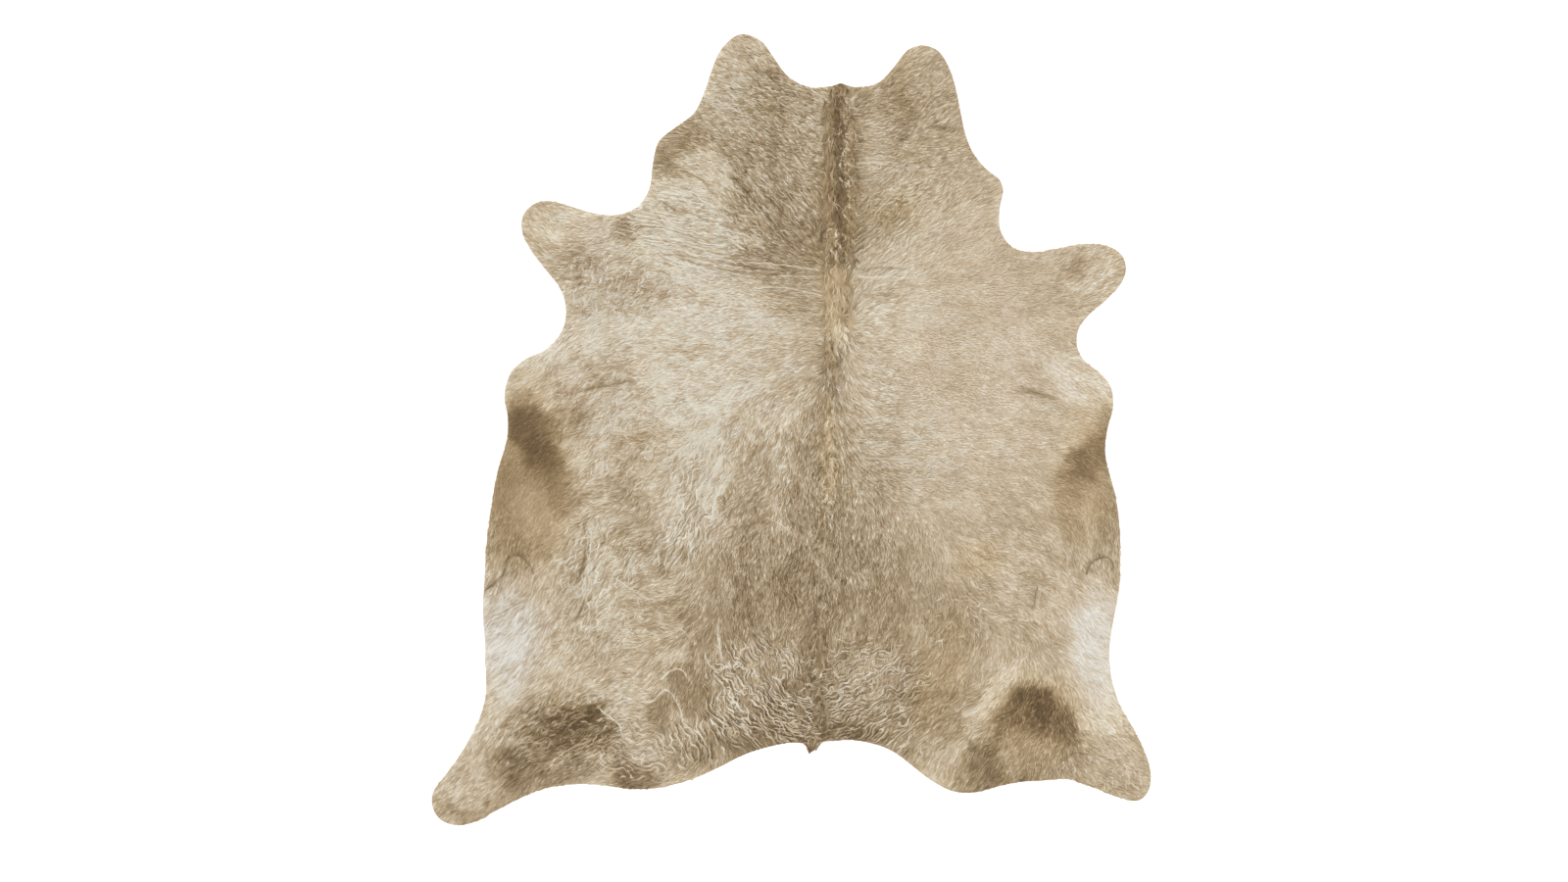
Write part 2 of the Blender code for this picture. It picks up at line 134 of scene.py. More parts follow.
# Patches of the coat: x, y, half length, half width (cm), turn (degrees), softness; tone, strength
PATCHES = (
    ("neck", (6, 84, 32, 28, 90, 0.5), 173, 0.9),
    ("left lobe", (-15, 99, 12, 8, 80, 0.6), 198, 0.8),
    ("right lobe", (38, 90, 16, 12, 90, 0.5), 172, 0.8),
    ("right cheek", (50, 76, 12, 7, 60, 0.6), 158, 0.75),
    ("right jaw", (57, 61, 6, 5, 0, 0.5), 160, 0.8),
    ("right lobe shade", (29, 88, 10, 4, 85, 0.5), 144, 0.75),
    ("left shoulder", (-34, 24, 40, 26, 0, 0.5), 204, 0.9),
    ("left middle", (-32, -6, 28, 22, -40, 0.5), 201, 0.9),
    ("left cream field", (-27, 4, 15, 10, -30, 0.6), 222, 0.75),
    ("right shoulder", (52, 36, 36, 24, 80, 0.5), 186, 0.9),
    ("right cream field", (30, 34, 22, 9, 100, 0.6), 197, 0.8),
    ("right middle", (50, -4, 26, 18, 0, 0.5), 191, 0.8),
    ("right belly", (62, -42, 26, 18, 80, 0.5), 175, 0.8),
    ("left belly", (-50, -44, 24, 20, 90, 0.5), 183, 0.8),
    ("left belly shade", (-45, -27, 12, 5.5, -60, 0.6), 169, 0.7),
    ("left belly inner shade", (-35, -43, 6, 5, 90, 0.6), 168, 0.75),
    ("left elbow shade", (-62, 8, 6, 4, 0, 0.6), 176, 0.7),
    ("neck patch", (-4, 64, 22, 12, 80, 0.5), 163, 0.9),
    ("neck patch foot", (3, 53, 12, 9, 0, 0.5), 144, 0.8),
    ("neck patch light", (1, 77, 9, 5, 20, 0.5), 178, 0.75),
    ("left cheek", (-31.5, 77.8, 10, 6.3, 47, 0.2), 150, 0.95),
    ("throat wedge", (-24.5, 71.5, 8.5, 5, -50, 0.35), 206, 0.85),
    ("throat", (-29, 56, 18, 12, -15, 0.4), 224, 0.92),
    ("neck patch low", (-12, 49, 6, 4, 0, 0.5), 152, 0.8),
    ("nape light", (7, 88, 6, 5, 0, 0.5), 194, 0.75),
    ("neck patch rim", (-15, 60, 5, 4, 90, 0.5), 160, 0.7),
    ("neck patch side", (-12, 67, 5, 4.5, 90, 0.5), 182, 0.8),
    ("left fore tip", (-73, 56, 6, 6, 0, 0.5), 180, 0.8),
    ("left fore strip", (-58, 57, 15, 6, -8, 0.5), 208, 0.85),
    ("left fore smudge", (-46.5, 57, 4, 3.5, 60, 0.5), 156, 0.9),
    ("left fore mottle", (-58, 46, 8, 4.5, -50, 0.5), 164, 0.85),
    ("left scale field", (-46, 38, 12, 8, 0, 0.5), 180, 0.7),
    ("left shoulder shade", (-53, 21, 5, 4, 0, 0.5), 180, 0.7),
    ("left pale shoulder", (-49, 23, 15, 7, 10, 0.6), 203, 0.8),
    ("left swirl", (-52, 18, 9, 5.5, 20, 0.5), 168, 0.85),
    ("left armpit", (-68, 22, 6, 4, 30, 0.6), 206, 0.8),
    ("left elbow", (-75, 10.5, 6, 4, 10, 0.4), 190, 0.85),
    ("left of the withers", (3, 38, 11, 10, 0, 0.6), 158, 0.8),
    ("right of the withers", (22, 20, 24, 4.5, 95, 0.5), 198, 0.7),
    ("right withers shade", (24, 54, 9, 6, 60, 0.5), 158, 0.7),
    ("upper neck left", (-6, 88, 11, 6, 100, 0.6), 150, 0.75),
    ("nape light rim", (6, 88, 7, 3.5, 0, 0.5), 182, 0.7),
    ("nape right", (18, 92, 4, 4, 0, 0.5), 148, 0.8),
    ("right nape light", (24, 77, 11, 4.5, 80, 0.5), 190, 0.75),
    ("left smooth belly", (-79, -18, 18, 8, 94, 0.5), 140, 0.9),
    ("left belly foot", (-72, -24, 10, 6, 90, 0.6), 165, 0.7),
    ("left flank band", (-70, -6, 14, 5.2, -58, 0.5), 124, 0.9),
    ("left flank dark", (-71, -2, 10, 5, -52, 0.4), 90, 0.85),
    ("left flank spot", (-65, -20, 5, 4, -70, 0.6), 136, 0.8),
    ("left flank top", (-63, 1, 6, 5, 0, 0.5), 146, 0.8),
    ("left flank cream", (-58, -8, 5, 4, 70, 0.5), 202, 0.7),
    ("left of the spine", (-12, -13, 8, 4.5, 90, 0.5), 152, 0.8),
    ("left light", (-2, 2, 7, 4.5, 70, 0.5), 205, 0.75),
    ("left middle shade", (-44, -5, 11, 5, 60, 0.5), 172, 0.75),
    ("left lower band", (-73, -31, 7, 4, -20, 0.6), 146, 0.8),
    ("left arch", (-76.5, -41, 6, 4, 0, 0.4), 172, 0.8),
    ("left white", (-79, -59, 14, 8, 95, 0.6), 212, 0.95),
    ("left marbling", (-60, -46, 12, 9, 60, 0.5), 188, 0.7),
    ("left thigh", (-60, -66, 16, 7, 20, 0.5), 190, 0.8),
    ("left thigh shade", (-71, -77, 5, 4, 60, 0.7), 146, 0.8),
    ("left knee", (-61, -83, 11.5, 7, 8, 0.35), 118, 0.95),
    ("left knee brow", (-60, -80, 9, 3.5, 18, 0.6), 92, 0.85),
    ("left knee foot", (-51, -87, 7, 4, -15, 0.5), 126, 0.85),
    ("left shank patch", (-76, -93, 6.5, 6, 0, 0.5), 112, 0.9),
    ("left below knee", (-65, -94, 9, 4.5, 5, 0.5), 140, 0.85),
    ("left shank", (-90, -101, 10, 6, 45, 0.5), 176, 0.8),
    ("left shank rim", (-83, -82, 9, 3, 60, 0.6), 198, 0.8),
    ("left shank light", (-94, -97, 10, 3.5, 50, 0.5), 192, 0.8),
    ("left shank shade", (-76, -101, 9, 3.5, 20, 0.5), 138, 0.8),
    ("left shank tip", (-93, -108, 6, 4, 0, 0.6), 146, 0.8),
    ("left shank foot", (-84, -106, 7, 3, 25, 0.5), 140, 0.75),
    ("left buttock", (-38, -97, 10, 4, 0, 0.6), 166, 0.7),
    ("left haunch", (-40, -80, 12, 6, 95, 0.5), 187, 0.85),
    ("left belly foot shade", (-41, -60, 5, 5, 0, 0.5), 170, 0.8),
    ("left haunch light", (-48.5, -77, 5, 4, 0, 0.5), 196, 0.8),
    ("left hock spot", (-43, -96.5, 6.5, 4.2, -20, 0.4), 104, 0.9),
    ("haunch shade", (-34, -83, 5, 3.5, 0, 0.5), 152, 0.8),
    ("rump", (6, -70, 38, 15, 0, 0.4), 152, 0.9),
    ("rump foot", (3, -88, 25, 8, 0, 0.5), 114, 0.9),
    ("left rump foot", (-24, -90, 9, 4, 20, 0.5), 136, 0.8),
    ("rump middle", (2, -78, 11, 6, 0, 0.5), 128, 0.75),
    ("right rump shade", (32, -77, 8, 6, 40, 0.5), 136, 0.75),
    ("haunch patch", (-35.5, -79, 5.6, 3.7, 95, 0.2), 143, 0.95),
    ("rump left patch", (-27.5, -73, 9, 5, -70, 0.2), 141, 0.95),
    ("back left", (-12, -41, 22, 12, 70, 0.3), 152, 0.9),
    ("back right", (24, -41, 21, 13, 100, 0.4), 154, 0.9),
    ("back middle", (6, -32, 27, 10, 90, 0.5), 144, 0.9),
    ("back dark heart", (4, -46, 14, 12, 90, 0.7), 134, 0.8),
    ("back wedge", (-14, -15, 14, 4.3, 63, 0.3), 163, 0.88),
    ("back light left", (-5, -22, 8, 2.8, 80, 0.5), 180, 0.75),
    ("back light top", (-16, -4, 6, 4.5, 60, 0.5), 206, 0.8),
    ("back light right", (17, -28, 5, 6, 90, 0.5), 168, 0.75),
    ("back top right", (26, -12, 8, 6, 60, 0.6), 158, 0.7),
    ("back left smudge", (-11, -49, 10, 5.5, 90, 0.6), 134, 0.8),
    ("back right smudge", (27, -49, 8, 4.5, 90, 0.6), 134, 0.8),
    ("rump light left", (-2, -65, 6, 3.5, 90, 0.5), 170, 0.8),
    ("rump light low", (-13, -68, 6, 3.5, 80, 0.5), 172, 0.75),
    ("rump light middle", (13, -69, 4, 3, 90, 0.5), 166, 0.7),
    ("left rump shade", (-28, -54, 10, 4.2, -62, 0.5), 144, 0.85),
    ("left rump light", (-32, -64, 4, 3, 0, 0.5), 206, 0.8),
    ("rump light right", (21, -63, 8, 4.5, 20, 0.5), 176, 0.75),
    ("right cream band", (36, -8, 12, 5, 0, 0.5), 194, 0.8),
    ("right streaks", (69, 10.5, 7, 1.4, 4, 0.6), 162, 0.8),
    ("right shoulder shade", (40, 13, 7, 5, 0, 0.5), 174, 0.7),
    ("right shoulder light", (62, 21, 8, 4, 0, 0.5), 200, 0.7),
    ("right throat shade", (60, 47, 7, 4, 30, 0.5), 172, 0.7),
    ("right fore shank", (84, 44, 10, 7, -10, 0.5), 196, 0.8),
    ("right throat light", (37, 64, 12, 4.5, -62, 0.5), 188, 0.75),
    ("right neck rust", (30.5, 61, 5, 4, 60, 0.5), 150, 0.75),
    ("right fore smudge", (79, 45, 5, 4, 30, 0.6), 154, 0.8),
    ("right fore lower", (69, 35.5, 6, 4, 30, 0.6), 164, 0.7),
    ("right armpit", (81, 14, 8, 6.5, 0, 0.5), 206, 0.8),
    ("right flank band", (83, -8, 13, 5, 65, 0.6), 112, 0.9),
    ("right belly shade", (57, -60, 6, 5, 0, 0.5), 166, 0.75),
    ("right flank top", (73, 0, 6, 3, 0, 0.5), 172, 0.7),
    ("right flank end", (86, -40, 5, 3, 0, 0.5), 158, 0.7),
    ("right flank rim", (88, -24, 14, 4.5, 92, 0.6), 148, 0.9),
    ("right flank foot", (77, -23, 9, 4.5, 85, 0.6), 150, 0.8),
    ("right rust spot", (52.5, -36, 6, 4, 0, 0.6), 162, 0.7),
    ("right brown spot", (73.5, -37, 4, 3, 30, 0.6), 150, 0.8),
    ("right flank fold", (86, -35, 6, 3, 0, 0.6), 170, 0.6),
    ("right white", (85.5, -60, 15, 6.5, 87, 0.6), 208, 0.95),
    ("right rump rust", (44, -55, 10, 9, 70, 0.5), 143, 0.85),
    ("right rump rust foot", (43, -78, 9, 6, 80, 0.5), 144, 0.85),
    ("right cream streak", (55.5, -76, 13, 3.5, 58, 0.4), 202, 0.9),
    ("right knee", (67.5, -84, 13, 10.5, -20, 0.3), 136, 0.95),
    ("right knee brow", (68.4, -77.5, 9, 5, -25, 0.6), 78, 0.93),
    ("right knee eye", (76, -82.5, 5, 3.5, -50, 0.6), 102, 0.9),
    ("right knee edge", (60, -84, 8, 3, 62, 0.5), 124, 0.8),
    ("right knee hollow", (64, -89, 7, 5, 0, 0.5), 172, 0.75),
    ("right foot patch", (51, -95.5, 8, 5.5, 65, 0.4), 110, 0.9),
    ("right foot rim", (62, -98, 13, 3, 2, 0.5), 122, 0.85),
    ("right hock", (78, -94, 9, 5, 0, 0.5), 148, 0.8),
    ("right shank", (90, -92, 10, 6, -30, 0.5), 178, 0.8),
    ("right shank foot", (90, -100, 12, 4, 0, 0.5), 154, 0.75),
    ("right thigh", (89, -78, 10, 5.5, 100, 0.5), 202, 0.85),
    ("right haunch", (45, -98, 6, 3, 0, 0.5), 158, 0.8),
)

# The crest down the spine: y, x, half width (cm), tone
CREST = np.array((
    (-87, 6.5, 3.0, 118),
    (-77, 7.0, 3.0, 128),
    (-66, 7.5, 3.0, 134),
    (-55, 7.3, 3.0, 138),
    (-44, 8.8, 3.0, 152),
    (-36, 10.0, 3.0, 152),
    (-22, 10.0, 3.0, 146),
    (-11, 8.4, 4.0, 152),
    (2, 9.0, 4.0, 154),
    (16, 10.6, 3.2, 152),
    (26, 12.0, 3.6, 138),
    (32, 11.2, 3.6, 152),
    (43, 11.4, 3.8, 142),
    (52, 12.8, 4.6, 120),
    (59, 13.4, 4.8, 117),
    (70, 13.8, 4.6, 112),
    (81, 13.8, 3.8, 114),
    (90, 13.5, 3.0, 128),
    (95, 13.5, 3.0, 112),
))

# Where the coat is warmer (towards 1) or cooler (towards 0) than the rest: oval, warmth
WARMTH = (
    ("neck", (20, 84, 40, 30, 0, 0.6), 0.66),
    ("left shoulder", (-36, 24, 34, 22, 0, 0.5), 0.50),
    ("right side", (55, -4, 60, 30, 90, 0.5), 0.45),
    ("left flank", (-72, -14, 26, 12, 90, 0.5), 0.96),
    ("right flank", (82, -12, 18, 9, 80, 0.5), 0.88),
    ("left white", (-79, -59, 14, 9, 95, 0.6), 0.10),
    ("right white", (84, -60, 15, 8, 85, 0.6), 0.12),
    ("rust spot", (52, -36, 7, 5, 0, 0.6), 0.85),
    ("right neck rust", (30, 61, 7, 6, 0, 0.6), 0.90),
    ("rump rust", (41, -68, 18, 7, 80, 0.6), 0.80),
    ("right knee", (67, -80, 14, 12, 0, 0.5), 0.92),
    ("left knee", (-60, -83, 13, 8, 0, 0.5), 0.82),
    ("crest", (13, 70, 26, 5, 90, 0.5), 0.86),
    ("blond mane", (12, 37, 12, 5, 90, 0.5), 0.95),
    ("golden strands", (10.5, -6, 14, 3, 90, 0.5), 0.90),
)

# How the coat lies: oval; length (mm), marbling and streaks (tone), unruliness (degrees)
COAT_ZONES = (
    ("back", (8, -26, 32, 30, 90, 0.5), 18, 10, 14, 16),
    ("rump", (6, -72, 38, 17, 0, 0.4), 18, 11, 11, 20),
    ("haunch patch", (-29, -74, 8, 5.5, -60, 0.3), 15, 4, 7, 6),
    ("left belly", (-48, -44, 26, 18, 90, 0.5), 17, 15, 11, 26),
    ("left middle", (-34, -4, 32, 20, -30, 0.5), 16, 14, 10, 28),
    ("scale field", (-50, 40, 20, 10, 0, 0.5), 16, 12, 11, 22),
    ("throat", (-30, 56, 18, 14, 0, 0.5), 18, 6, 11, 10),
    ("neck", (-4, 78, 30, 20, 90, 0.5), 14, 7, 17, 12),
    ("right neck", (34, 76, 22, 18, 90, 0.5), 14, 5, 12, 12),
    ("right side", (56, -4, 60, 28, 90, 0.5), 16, 8, 5, 14),
    ("right shoulder", (52, 34, 24, 18, 60, 0.5), 16, 6, 4, 7),
    ("right belly", (62, -44, 20, 18, 90, 0.5), 16, 12, 8, 26),
    ("smooth belly", (-74, -12, 24, 11, 102, 0.4), 12, 5, 5, 6),
    ("right flank", (83, -14, 20, 8, 85, 0.5), 13, 6, 5, 8),
    ("left white", (-79, -59, 15, 8, 95, 0.5), 24, 15, 9, 10),
    ("right white", (84, -60, 16, 8, 85, 0.5), 24, 6, 5, 10),
    ("left knee", (-62, -84, 20, 11, 10, 0.4), 15, 15, 18, 14),
    ("right knee", (68, -84, 14, 13, 0, 0.4), 12, 9, 11, 18),
    ("left shank", (-90, -101, 12, 8, 45, 0.5), 18, 14, 10, 8),
    ("right shank", (90, -94, 14, 9, 0, 0.5), 16, 5, 9, 12),
)

# Which way the hair's tips point: x, y (cm), degrees counter-clockwise from the hide's right
FLOW = (
    # Left side of the neck, cheek and throat
    (-14, 100, 154), (-8, 84, 160), (6, 78, 170), (-8, 66, 142), (-29, 77, 170), (-22, 70, 160),
    (-34, 60, 160),
    # Left foreleg, shoulder and middle
    (-46, 57, 205), (-70, 54, 150), (-58, 45, 190), (-42, 38, 200), (-30, 26, 184), (-66, 18, 212),
    (-4, 36, 182), (-34, 2, 188), (-24, -14, 232),
    # Left flank, belly and hind leg
    (-70, -4, 216), (-78, -20, 250), (-52, -24, 205), (-58, -44, 242), (-42, -52, 166), (-80, -58, 226),
    (-66, -70, 232), (-60, -84, 216), (-90, -99, 222), (-42, -76, 176), (-32, -76, 262),
    (-38, -96, 200),
    # Rump and back
    (-14, -64, -86), (-10, -84, -46), (6, -72, -90), (22, -84, 216), (-14, -38, -96), (-13, -10, -112),
    (8, -30, -90), (26, -38, -86),
    # Right of the back and rump
    (34, -6, -3), (40, -66, 236), (50, -80, 208),
    # Right side of the neck, shoulder and foreleg
    (38, 92, 26), (21, 78, 4), (32, 76, 18), (25, 56, 42), (42, 58, 32), (40, 30, -8), (80, 46, 24),
    (78, 18, -30),
    # Right flank, belly and hind leg
    (60, 2, -6), (78, -12, -12), (88, -26, -86), (60, -42, -20), (84, -58, -38), (87, -78, -42),
    (66, -82, 236), (90, -95, -24), (52, -96, 240),
)
FLOW_REACH = 0.04

# Ridges (cream hair with painted highlight) and creases (painted shade): tone shift, half width (cm), x, y
# knots (cm)
LINES = (
    # Lobes, cheek and throat
    (-14, 0.35, (-18.5, 104), (-5, 104.5)),
    (-14, 0.35, (-19.5, 99.5), (-10, 100), (-2, 98.5)),
    (-24, 0.30, (39, 84.5), (43, 84), (47.5, 83)),
    (-36, 0.30, (-38.4, 64.7), (-32.4, 61.3), (-28.6, 60.2), (-21.2, 57.4)),
    (-34, 0.30, (-30.5, 72), (-25, 69.5), (-21.2, 64.7)),
    (-26, 0.30, (-20.4, 77.6), (-15.5, 73.7), (-12.2, 64.7)),
    (-36, 0.28, (-16.2, 70.7), (-11, 64.5), (-4.9, 57.1)),
    (-32, 0.28, (-13, 72.2), (-7, 65), (-1, 58.6)),
    (-34, 0.28, (-31.3, 54), (-18, 52)),
    (-34, 0.28, (-20, 57), (-11.4, 55.2)),
    (-34, 0.28, (-35.6, 52.5), (-27.3, 50.2), (-18, 48.5)),
    (-34, 0.28, (-33, 49), (-18, 46), (-2.4, 44)),
    (-30, 0.28, (-30.7, 47.4), (-16, 44), (-2.4, 43)),
    # Neck, left shoulder and withers
    (26, 0.28, (-13, 46.5), (-2, 45.6), (7, 44.3)),
    (22, 0.26, (-3.8, 42.7), (7.3, 42.4)),
    (24, 0.28, (-10.9, 39.2), (-2.4, 39.4), (9.5, 37)),
    (-24, 0.45, (-62, 9.5), (-55, 11.6), (-48, 13), (-43, 13.4)),
    (10, 0.30, (-12.8, 31.6), (2, 32), (17, 31.6)),
    (-20, 0.28, (18.5, 44.6), (25, 45), (32, 44.6)),
    (26, 0.26, (18.5, 42.4), (32, 42.2)),
    (-16, 0.28, (18.5, 37.5), (32, 37.3)),
    (18, 0.30, (17.4, 73.7), (22, 74.1), (27, 73.7)),
    (18, 0.30, (16.3, 68.8), (22, 69.6)),
    (-22, 0.30, (36.4, 73.4), (34.4, 71)),
    # Left flank and belly
    (-32, 0.35, (-84.9, -44.6), (-80.5, -40.8), (-78.9, -36.2), (-75.9, -34.8), (-72.4, -37.8), (-71, -41.9)),
    (16, 0.35, (-82, -43), (-79.6, -38.4), (-77, -34.2)),
    (-32, 0.35, (-44.3, -34), (-47.7, -41.5)),
    (26, 0.35, (-43.2, -33.6), (-46.6, -41.9)),
    (-30, 0.35, (-57.4, -47.7), (-60.2, -53.6)),
    (-28, 0.35, (-57.6, -26), (-57, -31), (-57.8, -37), (-59, -42)),
    (28, 0.35, (-48.6, -41.5), (-41.9, -46), (-37, -47.7)),
    (24, 0.40, (-31.5, -54.4), (-27, -59.3)),
    (26, 0.45, (-56.2, -25), (-55.6, -31), (-56.3, -38), (-57.6, -43)),
    # Left knee and hock
    (30, 0.28, (-63.9, -84.9), (-62, -82.4), (-58.2, -79.7), (-54.7, -78.9)),
    (28, 0.28, (-64.2, -90.3), (-60.7, -88.1), (-56.3, -86.5)),
    (40, 0.40, (-54, -76.7), (-51.5, -78.8), (-48.1, -81.6), (-46.5, -85.8)),
    (26, 0.32, (-51.7, -90.3), (-47.9, -88.9), (-45.2, -89.5)),
    (28, 0.32, (-49.2, -94.7), (-46, -93.3), (-41.6, -94.7)),
    # Left haunch
    (44, 0.40, (-36, -69), (-33.5, -67), (-30.5, -66.6), (-28.1, -69.8)),
    (42, 0.36, (-41, -75.8), (-38.6, -75.3), (-34.4, -72.4), (-30.6, -77.9), (-30.4, -81.2)),
    (44, 0.35, (-29.8, -82.4), (-26.5, -83.7), (-23.7, -86.7)),
    (30, 0.35, (-30.2, -85.8), (-30.6, -90.8), (-29.4, -92.5)),
    (22, 0.35, (-28.6, -89.2), (-26.5, -93.3)),
    (22, 0.35, (-35.2, -87), (-34, -89.5)),
    # Rump and tail
    (34, 0.50, (-19.3, -65.8), (-15.5, -65.3), (-13.9, -61.5), (-10.6, -59.8)),
    (42, 0.50, (-20, -53), (-20.4, -57), (-19.6, -61), (-19.2, -65)),
    (40, 0.40, (-24.2, -62), (-23.1, -64.7), (-21, -66.4), (-17, -65.8)),
    (18, 0.40, (-21.4, -68), (-21.1, -74.6), (-22.2, -80.2), (-23.4, -85.7)),
    (22, 0.35, (-20.6, -69.1), (-16.7, -74.1)),
    (26, 0.35, (-13.9, -82.4), (-9, -85.7)),
    (26, 0.35, (-10, -80.2), (-4.5, -85.7)),
    (24, 0.35, (-6.7, -77.4), (-1.1, -82.4), (3.3, -85.1)),
    (20, 0.35, (-4.5, -74.1), (3.3, -80.2)),
    (24, 0.35, (8.3, -70.7), (10, -72), (14, -73)),
    (28, 0.45, (40, -47.4), (43.5, -45.7)),
    (22, 0.35, (29.4, -74.6), (30.6, -78), (32.6, -81.3)),
    (18, 0.35, (42.2, -70.2), (46.5, -69.1)),
    # Back
    (24, 0.70, (-6.6, -24.5), (-2, -27), (1.5, -30.4)),
    (22, 0.50, (5.7, -35), (8, -38), (10, -39.4)),
    (36, 0.45, (-19, -7.5), (-21.5, -12), (-23.5, -17), (-24.5, -22)),
    (34, 0.40, (-18.5, -14.5), (-21, -19), (-22.4, -26.7)),
    (34, 0.45, (-28.8, -28.3), (-27.7, -33.5)),
    # Right middle
    (-10, 0.28, (21.2, -2.9), (37.8, -2.7)),
    (12, 0.28, (20.7, -7.9), (32.4, -8.2)),
    (14, 0.28, (32.3, -14.4), (41, -13.6)),
    (12, 0.28, (26.7, -21.8), (41, -21.5)),
    (-12, 0.50, (61.5, 11), (67.5, 10.3)),
    (-20, 0.50, (67.5, 10.3), (73.5, 8.4)),
    # Right hock and shank
    (-22, 0.32, (75, -92.2), (78.3, -89.8), (83.5, -90.3)),
    (14, 0.32, (74.9, -94.1), (78.3, -91.2)),
    (-16, 0.35, (91.1, -84.9), (97.9, -87)),
    (16, 0.32, (91.9, -91.1), (93.6, -95.7), (93.4, -99.1)),
    (16, 0.32, (83.2, -95.7), (84.5, -98.2)),
    (14, 0.32, (89.9, -94.9), (90.3, -99.1)),
    # Right flank, belly and knee
    (-30, 0.35, (81.6, -40.3), (83.2, -37), (86.2, -35.4), (88.4, -35.9), (89.2, -38.6)),
    (-24, 0.35, (68.2, -43.5), (67.2, -50.3)),
    (14, 0.40, (69.2, -43.5), (68.4, -50.3)),
    (12, 0.40, (63.6, -69.6), (60.2, -73.7), (56.4, -79.6), (55.6, -83.3), (53.5, -87.5)),
)

LINE_STEP = 1.0
LINE_REACH = 0.02

# Longer locks: oval; count, degrees, their spread, length and width (mm), wave (degrees), tone, its spread
TUFTS = (
    ("nape", (13.4, 92, 4.5, 2.8, 90, 0.3), 70, -90, 24, 30, 1.7, 24, 112, 24),
    ("nape curls", (15.4, 91, 3.6, 1.4, 80, 0.3), 18, -35, 40, 30, 1.2, 22, 190, 12),
    ("crest left side", (10.6, 68, 21, 1.8, 91, 0.3), 230, -98, 13, 36, 1.5, 26, 130, 18),
    ("crest right side", (16.2, 68, 21, 1.8, 91, 0.3), 250, -82, 13, 36, 1.6, 26, 122, 20),
    ("crest core", (14.1, 70, 20, 1.5, 91, 0.3), 200, -90, 16, 30, 1.7, 20, 92, 14),
    ("crest core curls", (14.4, 73, 16, 1.3, 91, 0.3), 80, -30, 40, 30, 1.5, 44, 196, 12),
    ("crest foot", (12.7, 53, 4, 3.4, 90, 0.3), 100, -90, 34, 36, 1.8, 46, 128, 36),
    ("blond mane", (12.3, 38, 11, 2.8, 90, 0.3), 220, -92, 20, 42, 1.6, 34, 164, 17),
    ("light tuft of the mane", (13.2, 28, 4, 1.6, 90, 0.3), 40, -88, 20, 40, 1.8, 30, 202, 8),
    ("withers", (11.2, 18, 12, 2.2, 90, 0.3), 160, -90, 16, 34, 1.6, 24, 150, 24),
    ("golden strands", (10.6, -4, 12, 1.8, 90, 0.3), 140, -90, 20, 38, 1.6, 36, 164, 24),
    ("back squiggles", (10.4, -19, 5, 1.4, 90, 0.3), 30, -90, 40, 28, 1.4, 65, 184, 12),
    ("back line", (9.6, -34, 14, 1.6, 92, 0.3), 130, -90, 18, 32, 1.6, 28, 150, 24),
    ("rump line", (7.6, -62, 16, 1.5, 90, 0.3), 150, -90, 20, 32, 1.7, 34, 130, 28),
    ("tail root", (6.8, -82, 7, 2.0, 90, 0.3), 90, -90, 26, 30, 1.7, 40, 118, 28),
    ("left rump squiggles", (-6, -72, 15, 11, 0, 0.4), 26, -44, 16, 34, 1.5, 36, 194, 14),
    ("right rump squiggles", (22, -70, 16, 11, 0, 0.4), 40, 204, 20, 28, 1.5, 44, 186, 14),
    ("rump foot squiggles", (4, -83, 22, 4, 0, 0.4), 24, -12, 24, 26, 1.5, 40, 180, 16),
    ("left rump rim squiggles", (-26, -86, 12, 7, 40, 0.4), 10, -50, 20, 30, 1.5, 36, 194, 14),
    ("haunch squiggles", (-40, -92, 10, 5, 0, 0.4), 24, 200, 44, 26, 1.6, 54, 192, 12),
    ("right rump tufts", (45, -52, 9, 8, 0, 0.4), 60, 235, 30, 26, 1.4, 30, 172, 18),
    ("left knee squiggles", (-60, -85, 13, 6, 8, 0.4), 36, 200, 36, 28, 1.2, 46, 170, 14),
    ("throat streaks", (-26, 58, 12, 8, 0, 0.4), 50, 162, 12, 28, 1.5, 16, 184, 14),
    ("scale edges", (-50, 40, 18, 8, 0, 0.4), 60, 250, 40, 20, 1.4, 54, 206, 10),
    ("left belly streaks", (-56, -44, 18, 12, 90, 0.4), 80, 236, 22, 32, 1.4, 22, 206, 12),
    ("back edge streaks", (-26, -14, 16, 6, 70, 0.4), 90, 236, 26, 28, 1.6, 30, 208, 10),
    ("right shank squiggles", (88, -95, 10, 5, 0, 0.4), 36, -80, 40, 24, 1.5, 44, 194, 10),
)

